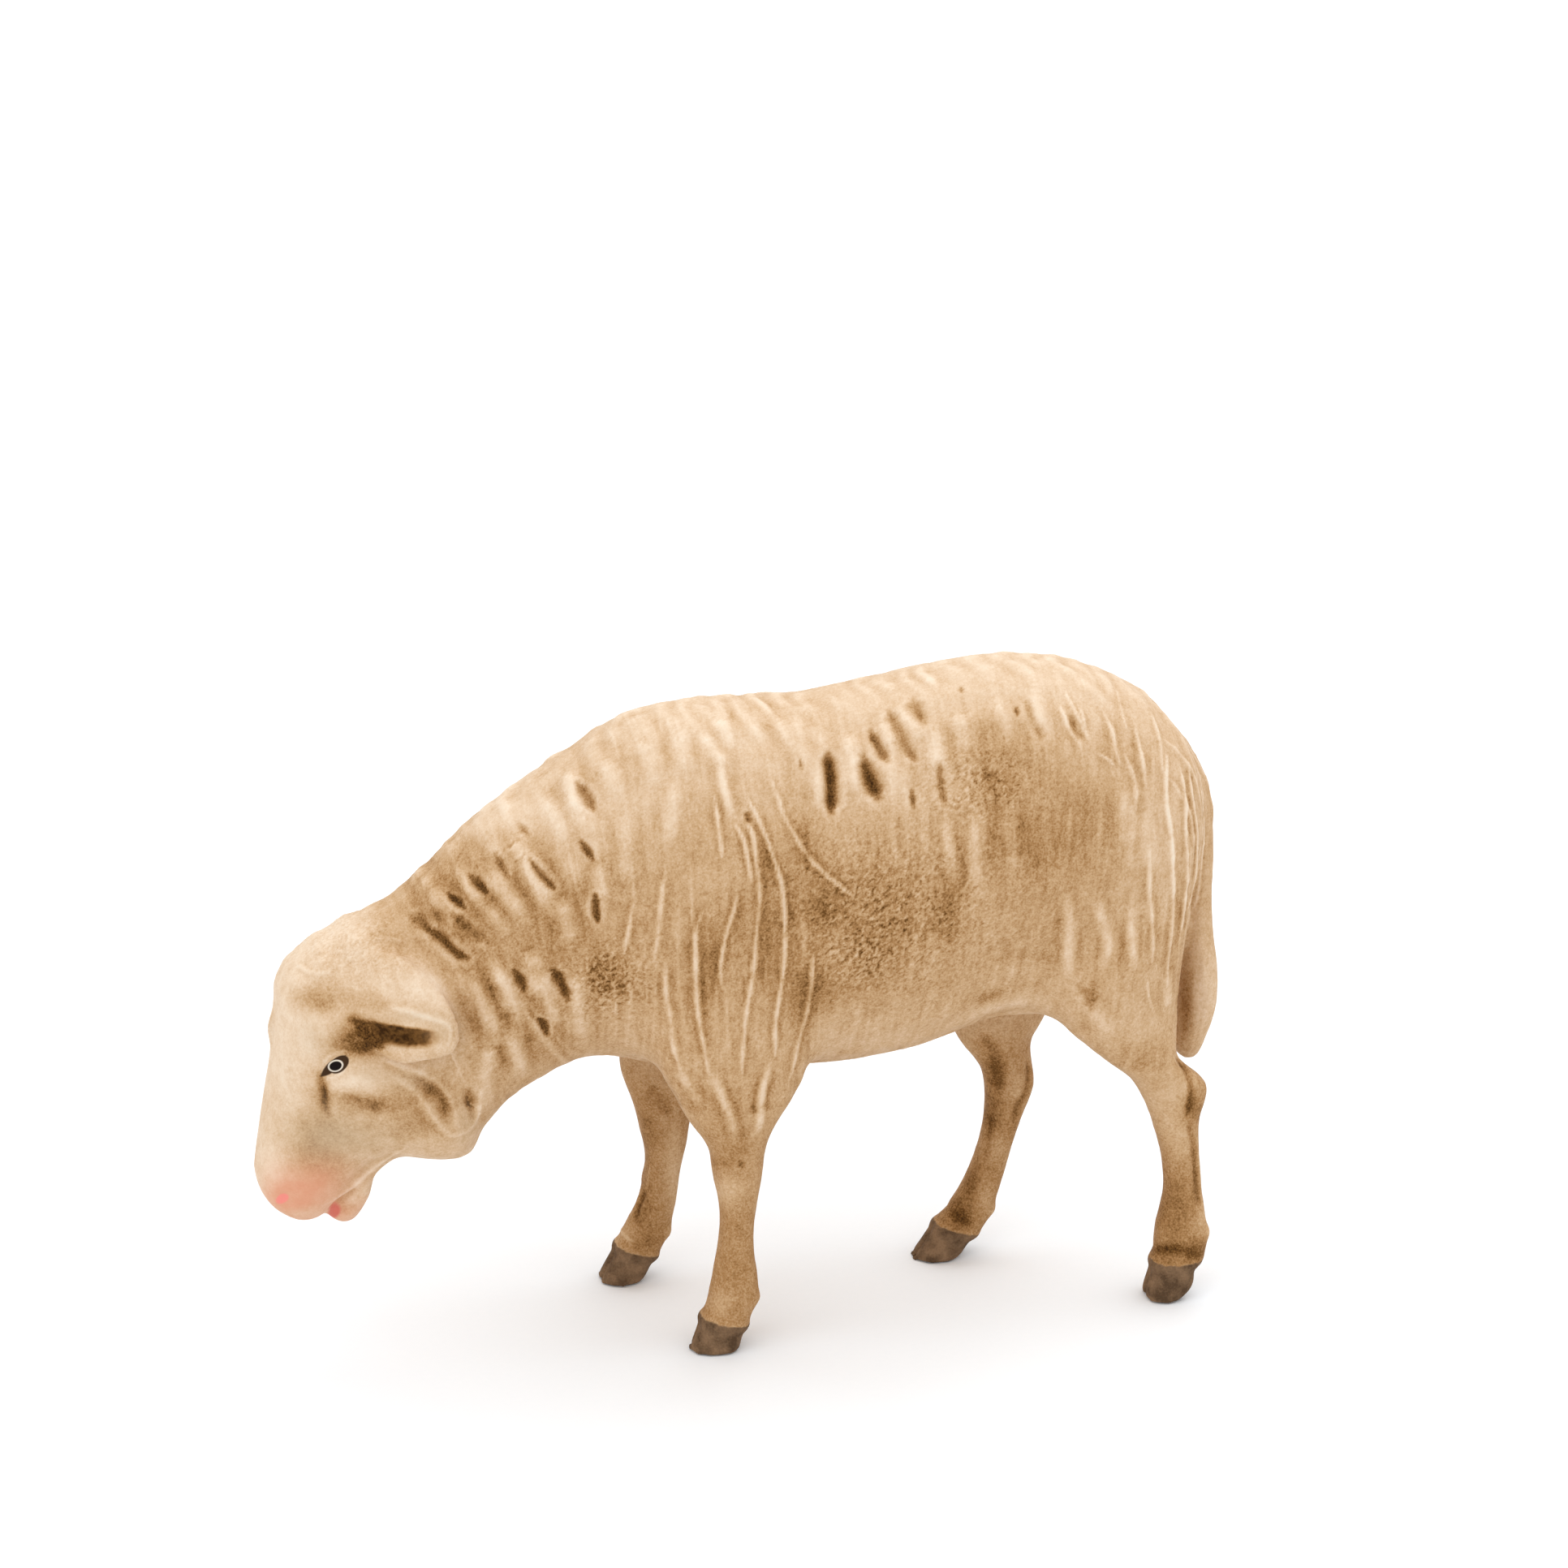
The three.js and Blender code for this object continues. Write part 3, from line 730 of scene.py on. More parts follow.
faceFolds = [
    (1.1, 0.7, 470, 1307, 497, 1313, 523, 1323, 550, 1343, 560, 1363, 563, 1387),
    (1.1, 0.6, 488, 1327, 510, 1343, 527, 1367, 543, 1390, 553, 1397),
    (1, 0.5, 590, 1343, 587, 1377, 573, 1393, 553, 1397),
    (0.8, 0.5, 403, 1483, 430, 1463, 455, 1440, 480, 1425, 500, 1412), (0.45, 0.3, 465, 1155, 480, 1156, 500, 1160),
    (0.45, 0.2, 450, 1175, 462, 1168), (0.55, 0.4, 396, 1312, 403, 1303, 411, 1298, 424, 1296),
    (0.5, 0.3, 402, 1328, 414, 1326, 427, 1318), (0.7, 0.4, 365, 1190, 385, 1200, 410, 1198),
]
earRim = [
    (0.8, 0.4, 478, 1242, 500, 1246, 520, 1251, 538, 1256, 552, 1263, 557, 1273, 551, 1286),
]
# round folds between the dents of neck, shoulder and thigh
roundFolds = [
    (1.05, 0.28, 1308, 1098, 1318, 1125, 1322, 1150, 1317, 1182, 1322, 1205),
    (1.05, 0.28, 1350, 1105, 1360, 1140, 1365, 1165, 1357, 1198), (0.9, 0.28, 1387, 1115, 1392, 1150, 1396, 1192),
    (0.8, 0.24, 875, 1315, 887, 1347, 902, 1386, 905, 1413), (0.7, 0.34, 952, 1305, 940, 1350, 934, 1386, 928, 1403),
    (0.9, 0.18, 838, 1318, 850, 1345, 862, 1364), (0.9, 0.32, 884, 935, 892, 960, 897, 985, 905, 1012),
    (1.5, 0.45, 535, 1092, 560, 1120, 585, 1142, 605, 1165), (1.5, 0.45, 566, 1076, 588, 1106, 612, 1128, 628, 1150),
    (1.6, 0.5, 597, 1062, 617, 1090, 640, 1118, 655, 1145), (1.7, 0.5, 632, 1030, 650, 1056, 668, 1104, 690, 1130),
    (1.8, 0.45, 676, 1000, 692, 1030, 705, 1070, 722, 1100), (1.8, 0.4, 700, 950, 712, 1008, 735, 1030, 745, 1070),
    (1.5, 0.45, 600, 1180, 622, 1205, 640, 1240, 648, 1265), (1.5, 0.45, 655, 1190, 668, 1215, 680, 1245, 690, 1262),
    (1.6, 0.4, 705, 1185, 712, 1215, 716, 1250, 715, 1280), (1.5, 0.4, 560, 1195, 585, 1215, 603, 1250, 612, 1290),
    (1.4, 0.35, 625, 1270, 640, 1300, 643, 1325), (1.7, 0.35, 965, 872, 985, 905, 995, 940, 1000, 980),
    (1.5, 0.35, 1040, 905, 1048, 940, 1052, 980), (1.5, 0.35, 1090, 930, 1102, 955, 1108, 985),
    (1.5, 0.3, 1145, 890, 1150, 920, 1148, 950), (1.4, 0.18, 1330, 1205, 1345, 1240, 1372, 1275),
    (2.2, 0.4, 1180, 1262, 1220, 1240, 1260, 1232, 1300, 1238), (1.5, 0.3, 830, 960, 828, 1000, 822, 1040),
    (1.5, 0.3, 765, 1000, 770, 1050, 768, 1090), (1.1, 0.28, 862, 900, 878, 920, 885, 935, 897, 950),
    (1.1, 0.24, 880, 880, 895, 905, 905, 925), (1.1, 0.24, 905, 870, 925, 895, 940, 915),
    (1.1, 0.24, 955, 885, 975, 915, 985, 930), (1.4, 0.32, 1045, 905, 1055, 925, 1062, 945),
    (1.4, 0.28, 1092, 890, 1105, 915), (1.4, 0.28, 1113, 880, 1128, 900, 1140, 915),
    (1.4, 0.28, 1010, 935, 1010, 970, 1014, 1000), (1.6, 0.27, 1385, 960, 1390, 1000, 1392, 1050, 1395, 1080),
    (1.4, 0.27, 1405, 1000, 1412, 1050, 1418, 1090), (1.2, 0.2, 1436, 1195, 1434, 1220, 1438, 1245),
    (1.4, 0.36, 645, 1060, 660, 1082, 675, 1105), (1.4, 0.36, 700, 955, 705, 985, 718, 1000),
    (1.4, 0.32, 630, 1040, 645, 1060), (1.5, 0.32, 655, 1165, 665, 1200, 655, 1230),
    (1.4, 0.27, 600, 1290, 612, 1320), (1.5, 0.32, 590, 1300, 600, 1340, 597, 1380),
    (1.4, 0.32, 1200, 1000, 1204, 1040, 1206, 1090), (1.6, 0.24, 1240, 985, 1246, 1030, 1250, 1080),
    (1.1, 0.23, 1165, 1010, 1172, 1050, 1175, 1090), (1.6, 0.32, 1180, 880, 1190, 905, 1196, 925),
    (1.3, 0.24, 1150, 900, 1158, 925, 1160, 945), (1.3, 0.2, 1225, 860, 1236, 890, 1242, 912),
    (1.3, 0.24, 1270, 850, 1282, 880, 1290, 905), (1.3, 0.24, 1000, 890, 1010, 915, 1016, 935),
    (1.2, 0.27, 560, 1065, 580, 1090, 592, 1112), (1.4, 0.32, 600, 1030, 622, 1062, 634, 1085),
    (1.4, 0.32, 525, 1100, 548, 1126, 560, 1148), (1.4, 0.32, 672, 985, 690, 1010, 700, 1036),
    (1.4, 0.32, 745, 935, 755, 965, 760, 990), (1.4, 0.24, 790, 910, 800, 940, 806, 970),
    (1.3, 0.24, 830, 895, 842, 925, 848, 955), (1.4, 0.32, 690, 1105, 700, 1140, 702, 1170),
    (1.4, 0.27, 735, 1060, 742, 1090, 744, 1110), (1.4, 0.32, 610, 1190, 622, 1220, 626, 1250),
]
# cuts and dents: half width, depth, darkness, then photo points
fleeceCuts = [
    (1, 1.1, 0.4, 580, 1080, 590, 1092, 598, 1099), (0.8, 0.72, 0.27, 553, 1103, 563, 1112, 572, 1120),
    (0.8, 0.96, 0.33, 655, 1060, 668, 1078, 680, 1093), (1.1, 1.1, 0.31, 712, 968, 720, 981, 730, 995),
    (0.8, 0.84, 0.29, 717, 1036, 722, 1045, 730, 1058), (0.75, 0.9, 0.31, 734, 1104, 735, 1120, 737, 1136),
    (0.9, 0.84, 0.31, 632, 1198, 640, 1208, 646, 1219), (1.1, 0.96, 0.33, 682, 1195, 692, 1212, 700, 1230),
    (0.8, 0.84, 0.31, 664, 1255, 671, 1264, 674, 1273), (1, 0.96, 0.29, 530, 1145, 546, 1158, 562, 1175, 575, 1182),
    (1.2, 0.6, 0.14, 505, 1128, 530, 1145), (0.9, 0.6, 0.16, 612, 1056, 620, 1070, 624, 1080),
    (0.8, 0.48, 0.16, 640, 1018, 650, 1028), (1.2, 0.6, 0.16, 560, 1128, 580, 1145, 600, 1160),
    (1.3, 1.4, 1, 1021, 930, 1022, 955, 1024, 980, 1025, 998), (1.3, 1.2, 0.95, 1063, 934, 1071, 958, 1079, 982),
    (1.1, 0.8, 0.62, 1075, 902, 1084, 920, 1093, 936), (1.1, 0.6, 0.42, 1097, 876, 1110, 905, 1118, 920, 1127, 936),
    (1.4, 0.6, 0.45, 1124, 862, 1131, 874, 1138, 890), (0.6, 0.4, 0.35, 1122, 975, 1126, 995),
    (0.7, 0.7, 0.85, 921, 1004, 922, 1010), (0.4, 0.3, 0.5, 985, 938, 988, 948),
    (0.8, 0.35, 0.2, 1156, 940, 1160, 970, 1164, 992), (1.2, 0.3, 0.12, 1215, 950, 1222, 962),
    (0.5, 0.3, 0.4, 1185, 848, 1187, 853), (0.6, 0.4, 0.5, 1253, 873, 1254, 880),
    (1, 0.4, 0.13, 1268, 865, 1275, 890, 1283, 905), (0.9, 0.3, 0.06, 1318, 880, 1327, 900, 1338, 912),
    (1.5, 0.15, 0.05, 1205, 1240, 1220, 1229, 1237, 1222), (1.4, 0.4, 0.1, 1330, 1215, 1338, 1226, 1345, 1240),
]
faceCuts = [
    (1.1, 0.6, 0.2, 577, 1345, 578, 1354, 579, 1365), (1.7, 0.7, 0.12, 512, 1326, 530, 1338, 546, 1354, 558, 1372),
    (0.6, 0.2, 0.12, 426, 1351, 437, 1354, 446, 1359), (2, 0.5, 0.1, 418, 1350, 440, 1356, 462, 1361, 480, 1364),
    (0.8, 0.4, 0.26, 394, 1322, 397, 1340, 400, 1358, 404, 1374), (0.8, 0.6, 0.08, 407, 1488, 420, 1478, 436, 1466),
    (1.3, 0.25, 0.36, 432, 1259, 452, 1264, 478, 1268), (1.5, 0.25, 0.36, 436, 1275, 455, 1277, 478, 1278),
    (1.2, 0.25, 0.34, 440, 1291, 455, 1292, 470, 1290),
]
drawFolds(ridge, fleeceFolds, 0.58)
drawFolds(ridge, hipFolds, 0.85)
drawFolds(ridge, faceFolds, 0.75, sway=0)
drawFolds(ridge, earRim, 1.5, sway=0)
drawFolds(softFold, roundFolds, 0.5, loose=2.0)
drawCuts(fleeceCuts)
drawCuts(faceCuts, sway=0)

# crimps over the spine, folds beside the tail and on the chest, in mm
crimpMake = {
    "from": -50.0, "to": 66.0, "step": (2.6, 5.0), "reach": (4.0, 11.0), "sway": 1.6, "lean": (0.1, 0.8), "bend": 1.3,
    "height": (0.18, 0.38), "halfWidth": (0.9, 1.7), "onNeck": 1.5, "neckEnd": -12.0, "paleness": 0.18,
}
rumpMake = {
    "folds": [(3.2, 93, 66), (6.4, 90, 60), (9.2, 93, 70), (12.0, 84, 62), (14.4, 88, 74), (16.2, 80, 64)],  # y, z, z
    "sway": 0.8, "wave": 7, "behind": 45 * mm, "halfWidth": 0.9, "height": 0.4, "paleness": 0.3,
}
chestMake = {
    "folds": [(2.0, 60, 47), (5.0, 58, 45), (8.0, 61, 48), (11.0, 58, 46)],  # y, z, z
    "front": -36, "slope": 0.7, "sway": 0.1, "halfWidth": 1.0, "height": 0.2, "paleness": 0.1,
}
farOut = 200


def dropped(spots, way):  # rays from outside the figure onto the skin
    hits = [skinTree.ray_cast(Vector(spot) * mm, Vector(way))[0] for spot in spots]
    return np.array([hit for hit in hits if hit is not None])


def crimpSpine():
    station = crimpMake["from"]
    while station < crimpMake["to"]:
        reach = dice.uniform(*crimpMake["reach"])
        sway = dice.uniform(-crimpMake["sway"], crimpMake["sway"], 2)
        lean = dice.uniform(*crimpMake["lean"], 2)
        spots = []
        for y in np.linspace(-reach, dice.uniform(0.5, 1.0) * reach, 25):
            bent = lean[int(y > 0)] * abs(y) ** crimpMake["bend"] / 2
            spots.append((station + bent + sway[0] * y / reach, y + sway[1], farOut))
        larger = crimpMake["onNeck"] if station < crimpMake["neckEnd"] else 1.0
        halfWidth = dice.uniform(*crimpMake["halfWidth"]) * larger
        height = dice.uniform(*crimpMake["height"]) * larger
        softFold(dropped(spots, (0, 0, -1)), halfWidth, height, crimpMake["paleness"])
        station += dice.uniform(*crimpMake["step"])


def foldRump(across, high, low):
    for turn in (-1, 1):
        sway = dice.uniform(-rumpMake["sway"], rumpMake["sway"], 3)
        spots = [(farOut, turn * (across + sway[0] + sway[1] * math.sin(z / rumpMake["wave"])), z)
                 for z in np.linspace(high, low, 25)]
        line = dropped(spots, (-1, 0, 0))
        line = line[line[:, 0] > rumpMake["behind"]]
        if len(line) > 4:
            ridge(line, rumpMake["halfWidth"], rumpMake["height"], rumpMake["paleness"])


def foldChest(across, high, low):
    for turn in (-1, 1):
        spots = [(chestMake["front"] + chestMake["slope"] * (high - z),
                  turn * (across + dice.uniform(-chestMake["sway"], chestMake["sway"])), z)
                 for z in np.linspace(high, low, 14)]
        ridge(snapped(np.array(spots) * mm), chestMake["halfWidth"], chestMake["height"], chestMake["paleness"])


crimpSpine()
for fold in rumpMake["folds"]:
    foldRump(*fold)
for fold in chestMake["folds"]:
    foldChest(*fold)
print("fleece folds", len(fleeceFolds), "cuts", len(fleeceCuts))

# legs and hooves: y of the leg's middle in mm, coronet line in the photo, then folds and cuts seen on the leg
legMarks = {
    "front_left": {
        "middle": -13.9,
        "coronet": [862, 1624, 875, 1628, 895, 1632, 915, 1638],
        "folds": [],
        "cuts": [(0.6, 0.3, 0.24, 912, 1432, 915, 1438)],
    },
    "front_right": {
        "middle": 13.9,
        "coronet": [760, 1537, 785, 1545, 808, 1549],
        "folds": [(0.6, 0.35, 762, 1512, 770, 1522, 776, 1532), (0.6, 0.3, 800, 1440, 795, 1480)],
        "cuts": [
            (0.8, 0.4, 0.18, 795, 1468, 788, 1484, 782, 1502), (1.6, 0.4, 0.1, 800, 1335, 815, 1355, 825, 1375),
        ],
    },
    "hind_left": {
        "middle": -11.6,
        "coronet": [1418, 1557, 1440, 1555, 1466, 1561],
        "folds": [(0.6, 0.35, 1474, 1400, 1476, 1440, 1480, 1480)],
        "cuts": [
            (0.9, 0.5, 0.12, 1450, 1306, 1460, 1318, 1468, 1332, 1468, 1350, 1462, 1372),
            (0.8, 0.4, 0.08, 1466, 1385, 1468, 1420, 1472, 1455, 1478, 1490),
            (1.1, 0.35, 0.15, 1426, 1541, 1448, 1538, 1472, 1545),
        ],
    },
    "hind_right": {
        "middle": 11.6,
        "coronet": [1154, 1510, 1175, 1517, 1195, 1522],
        "folds": [],
        "cuts": [
            (0.9, 0.5, 0.12, 1266, 1308, 1269, 1325, 1264, 1345, 1256, 1362, 1250, 1380),
            (1, 0.3, 0.08, 1222, 1375, 1218, 1405, 1215, 1425),
            (1.7, 0.35, 0.16, 1212, 1275, 1226, 1300, 1230, 1330, 1232, 1345),
            (1.3, 0.35, 0.2, 1172, 1496, 1182, 1504, 1194, 1506),
        ],
    },
}
hoofMake = {
    "top": 6, "rim": 0.36, "rimDrop": 0.5, "rimWidth": 0.9, "tuck": 0.10,
    "cleft": 0.55, "cleftWidth": 0.42, "heel": 0.35, "heelWidth": 0.6,
    "claw": 0.50, "clawHeight": 4.2, "clawSide": 1.5, "clawReach": 1.3, "clawInset": 0.5,
}
hoofGap = np.full(pointCount, 30.0)  # mm above the coronet


def legSides(path, middle):
    line = onSkin(path)
    yield line
    over = line.copy()
    over[:, 1] = 2 * middle * mm - over[:, 1]
    yield snapped(over)


def markLeg(name, middle, coronet, folds, cuts):
    own = isGroup(f"{name}_leg")
    line = onSkin(coronet, 0)
    slope, height = np.polyfit(line[:, 0], line[:, 2], 1)
    gap = (skinPoints[:, 2] - (height + slope * skinPoints[:, 0])) / mm
    across = skinPoints[:, 1] / mm - middle
    hoofGap[own] = gap[own]
    print(name, "coronet height", round(height / mm, 2), "slope", round(slope, 3))
    rim = hoofMake["rim"] * np.exp(-((gap + hoofMake["rimDrop"]) / hoofMake["rimWidth"]) ** 2)
    change = (rim - hoofMake["tuck"] * easeStep(-gap, 1.0, 2.0)) * (gap < hoofMake["top"])
    cleft = np.exp(-(across / hoofMake["cleftWidth"]) ** 2) * easeStep(-gap, -0.3, 0.8)
    change -= hoofMake["cleft"] * cleft * easeStep(-skinNormals[:, 0], 0.0, 0.4)
    heel = np.exp(-(across / hoofMake["heelWidth"]) ** 2) * easeStep(3 - gap, 0, 1.5)
    change -= hoofMake["heel"] * heel * easeStep(skinNormals[:, 0], 0.2, 0.6)
    clawHeight = hoofMake["clawHeight"]
    rear = skinPoints[own & (np.abs(gap - clawHeight) < 0.5)][:, 0].max()
    for turn in (-1, 1):  # dewclaws behind the pastern
        place = [rear - hoofMake["clawInset"] * mm, (middle + hoofMake["clawSide"] * turn) * mm,
                 height + slope * rear + clawHeight * mm]
        change += hoofMake["claw"] * bell(skinPoints, np.array(place), hoofMake["clawReach"])
    lift[own] += change[own]
    for halfWidth, fold, *path in folds:
        for side in legSides(path, middle):
            ridge(side, halfWidth, fold, 0.6)
    for halfWidth, depth, darkness, *path in cuts:
        for side in legSides(path, middle):
            cut(side, halfWidth, depth, darkness)


for name, marks in legMarks.items():
    markLeg(name, **marks)
print("legs marked")

# paint by zones: photo point, reach right and down in pixels, amount of brown wash or, below zero, of pale; besides
# the brown wash they hold painted shade in folds and under parts and painted highlights on tops, edges and knees
fleeceZones = [
    (690, 1150, 70, 60, 0.16), (560, 1140, 50, 40, 0.26), (875, 1180, 16, 60, 0.32), (945, 1160, 12, 60, 0.32),
    (910, 1150, 12, 50, 0.22), (945, 1060, 10, 30, 0.25), (985, 1230, 14, 50, 0.24), (1010, 1130, 30, 50, 0.18),
    (1050, 1110, 80, 60, 0.16), (1110, 1120, 60, 70, 0.14), (1065, 1190, 40, 50, 0.12), (1010, 1220, 30, 30, 0.26),
    (1170, 1120, 18, 60, 0.24), (1230, 930, 55, 60, 0.28), (1200, 918, 26, 28, 0.14), (990, 1031, 18, 40, 0.2),
    (1225, 955, 18, 18, 0.08), (1290, 960, 80, 60, 0.14), (1270, 1060, 50, 70, 0.2), (1350, 1020, 60, 80, 0.08),
    (1240, 1015, 14, 40, 0.2), (1370, 1175, 70, 40, 0.16), (1060, 1275, 110, 28, -0.14), (750, 1205, 38, 32, 0.2),
    (740, 1190, 12, 10, 0.12), (765, 1215, 14, 12, 0.12), (1220, 1232, 24, 10, 0.2), (1345, 1226, 10, 18, 0.22),
    (1486, 1225, 20, 70, -0.3), (1462, 1235, 10, 50, 0.4), (1440, 1030, 45, 90, -0.36), (1400, 1265, 45, 32, -0.14),
    (1290, 1235, 80, 34, -0.1), (1320, 1165, 13, 55, -0.08), (1361, 1165, 13, 50, -0.08), (1393, 1160, 11, 45, -0.06),
    (1400, 1292, 40, 26, 0.1), (1360, 1160, 60, 60, -0.12), (1405, 1200, 40, 50, -0.08), (800, 1000, 60, 60, -0.08),
    (850, 900, 90, 30, -0.14), (1250, 830, 150, 40, -0.16), (1320, 905, 10, 22, 0.14), (1362, 915, 10, 22, 0.14),
    (1395, 915, 8, 24, 0.12), (620, 1000, 100, 34, -0.46), (600, 1230, 40, 60, 0.1), (680, 1280, 60, 30, 0.05),
    (1340, 1160, 50, 60, 0.02), (1258, 1178, 26, 9, 0.13), (1291, 1186, 9, 16, 0.1), (1347, 1229, 11, 15, 0.12),
    (900, 1010, 60, 50, 0.02), (905, 1380, 50, 40, 0.1), (770, 1290, 60, 40, -0.05), (1110, 985, 60, 40, -0.02),
]
headZones = [
    (390, 1230, 26, 17, 0.52), (452, 1277, 26, 20, 0.7), (440, 1278, 15, 20, 0.45), (431, 1255, 8, 8, 0.4),
    (500, 1165, 54, 26, 0.14), (360, 1180, 40, 40, -0.2), (575, 1215, 24, 50, 0.2), (455, 1238, 44, 12, 0.26),
    (470, 1312, 40, 14, 0.28), (345, 1440, 20, 30, -0.2), (388, 1334, 12, 30, 0.2), (412, 1285, 16, 14, 0.38),
    (432, 1333, 22, 9, -0.2), (383, 1290, 12, 22, -0.12), (400, 1380, 30, 20, 0.16), (450, 1295, 22, 8, 0.4),
    (465, 1284, 10, 6, 0.3), (440, 1225, 40, 16, 0.1), (430, 1355, 34, 10, 0.36), (462, 1363, 26, 9, 0.3),
    (397, 1345, 8, 26, 0.45), (530, 1390, 26, 16, 0.26), (548, 1360, 14, 22, 0.3), (533, 1342, 15, 17, 0.22),
    (580, 1355, 8, 16, 0.34), (500, 1345, 30, 24, 0.28), (385, 1300, 14, 40, -0.04), (440, 1195, 60, 22, 0.06),
    (360, 1250, 30, 60, -0.08), (550, 1300, 26, 30, 0.16), (480, 1135, 50, 18, 0.12), (500, 1215, 50, 30, -0.1),
    (405, 1448, 36, 20, 0.2), (375, 1425, 40, 18, 0.08), (525, 1418, 40, 10, 0.1), (500, 1378, 50, 30, 0.14),
    (390, 1412, 46, 38, 0.4), (424, 1488, 12, 10, 0.45), (470, 1390, 56, 36, 0.28), (345, 1300, 22, 80, -0.16),
    (330, 1430, 14, 40, -0.22), (400, 1135, 70, 34, -0.28), (525, 1225, 36, 30, -0.12), (478, 1272, 12, 12, 0.35),
    (425, 1285, 12, 14, 0.25),
]
legZones = [
    (1432, 1352, 42, 32, -0.28), (1442, 1391, 24, 28, -0.22), (1455, 1418, 18, 30, -0.16), (1468, 1366, 12, 18, 0.34),
    (1425, 1337, 12, 10, 0.16), (1442, 1539, 32, 9, 0.2), (1476, 1539, 10, 14, 0.24), (1481, 1505, 9, 30, -0.24),
    (1447, 1472, 24, 40, 0.06), (1458, 1312, 10, 16, 0.2), (1450, 1500, 30, 40, 0.08), (1221, 1379, 11, 24, 0.22),
    (1228, 1322, 14, 26, 0.22), (1250, 1340, 16, 18, -0.16), (1229, 1412, 16, 24, -0.12), (1214, 1472, 12, 24, -0.24),
    (1183, 1493, 16, 18, 0.34), (1198, 1459, 12, 18, 0.2), (1190, 1310, 10, 30, -0.18), (900, 1466, 30, 18, -0.24),
    (903, 1572, 20, 40, 0.1), (887, 1604, 14, 16, -0.16), (934, 1380, 12, 40, -0.22), (915, 1510, 20, 22, 0.08),
    (905, 1390, 40, 40, 0.1), (830, 1445, 10, 60, -0.26), (797, 1400, 12, 44, 0.12), (793, 1487, 12, 30, 0.18),
    (766, 1522, 14, 14, -0.16), (800, 1530, 24, 10, 0.14),
]
faceTints = {
    # grey tint: grey-green paint on the face, partly painted shade round the brow and under the ear's rim
    "grey": [
        (400, 1400, 46, 34, 0.55), (388, 1278, 20, 24, 0.4), (452, 1322, 24, 14, 0.3), (500, 1330, 30, 14, 0.3),
        (440, 1400, 60, 24, 0.35), (350, 1330, 16, 60, 0.15), (545, 1270, 16, 14, 0.4), (515, 1252, 34, 8, 0.45),
        (575, 1385, 14, 24, 0.3),
    ],
    "pink": [
        (385, 1467, 38, 28, 0.66), (400, 1448, 46, 26, 0.34), (345, 1462, 26, 34, 0.34), (352, 1478, 30, 20, 0.7),
        (420, 1497, 26, 16, 0.6),
    ],
}
pebbleZones = [(1095, 1120, 120, 85, 1), (1205, 965, 60, 40, 1), (750, 1208, 42, 34, 1.5), (1060, 1180, 32, 30, 1)]
capPebbles = [(430, 1165, 90, 60, 1.4), (590, 1240, 30, 70, 0.8)]
foldZones = [
    (640, 1130, 150, 150, 1), (880, 1150, 110, 170, 0.9), (1420, 1050, 70, 190, 0.8), (1000, 900, 450, 60, 0.5),
]
layoutMake = {
    "paintedTopLight": 0.36, "back": (80, 102), "tanLeg": (-46, -34), "tanTrunk": (-50, -38), "tanSide": (5, 8),
    "lipPink": 0.6, "lip": (1455, 1505), "legGrain": 0.45, "headGrain": 0.22, "neckGrain": 0.6, "hoofGrain": 0.15,
    "neckTo": 8 * mm, "hoofTo": 0.3, "leastPebble": 0.25, "mostPebble": 1.6, "leastFold": 0.35,
}


def zoneSum(photo, zones):
    return sum(amount * zoneShape(photo, zone) for *zone, amount in zones)


leftNormals = np.where(skinPoints[:, 1:2] > 0, mirrored(skinNormals), skinNormals)
seen = easeStep(leftNormals @ backward, -0.15, 0.25)
height = skinPoints[:, 2] / mm
washAndShade += zoneSum(leftPhoto, fleeceZones) * seen * isTrunk + zoneSum(leftPhoto, headZones) * seen * isHead
washAndShade += zoneSum(ownPhoto, legZones) * isLeg
tints = {name: np.clip(zoneSum(leftPhoto, zones), 0, 1) * isHead for name, zones in faceTints.items()}
lipPink = layoutMake["lipPink"] * easeStep(leftPhoto[:, 1], *layoutMake["lip"]) * isHead
tints["pink"] = np.maximum(tints["pink"], lipPink)
# painted light: the trunk gets paler towards the top of the back, as if lit from above
washAndShade -= isTrunk * layoutMake["paintedTopLight"] * easeStep(height, *layoutMake["back"])
tan = isTrunk * 0.8 * easeStep(-height, *layoutMake["tanTrunk"])
tan = tan * easeStep(np.abs(skinPoints[:, 1]) / mm, *layoutMake["tanSide"])
tan += isLeg * easeStep(-height, *layoutMake["tanLeg"])
onNeck = isGroup("head") & (forward(skinPoints) < layoutMake["neckTo"])
fleece = np.select(
    [hoofGap < layoutMake["hoofTo"], onNeck, isTrunk, isLeg],
    [layoutMake["hoofGrain"], layoutMake["neckGrain"], 1.0, layoutMake["legGrain"]], layoutMake["headGrain"])
fleece = spread(fleece, skinEdges, 10)
pebble = np.clip(zoneSum(leftPhoto, pebbleZones), 0, layoutMake["mostPebble"]) * seen + layoutMake["leastPebble"]
pebble = spread(pebble * isTrunk + zoneSum(leftPhoto, capPebbles) * isHead, skinEdges, 6)
folds = (layoutMake["leastFold"] + zoneSum(leftPhoto, foldZones)) * isTrunk
print("paint laid out")

grainMake = {
    "Grain Size": 0.75 * mm, "Grain Height": 0.026 * mm, "Streak Width": 1.9, "Streak Length": 14.0,
    "Streak Height": 0.06 * mm, "Streak Patch": 9.0 * mm, "Strand Gap": 4.6, "Strand Length": 40.0,
    "Strand Height": 0.04 * mm, "Lump Size": 12.0 * mm, "Lump Height": 0.16 * mm,
    "Pebble Size": 1.5 * mm, "Pebble Height": 0.09 * mm, "Seed": 7,
}


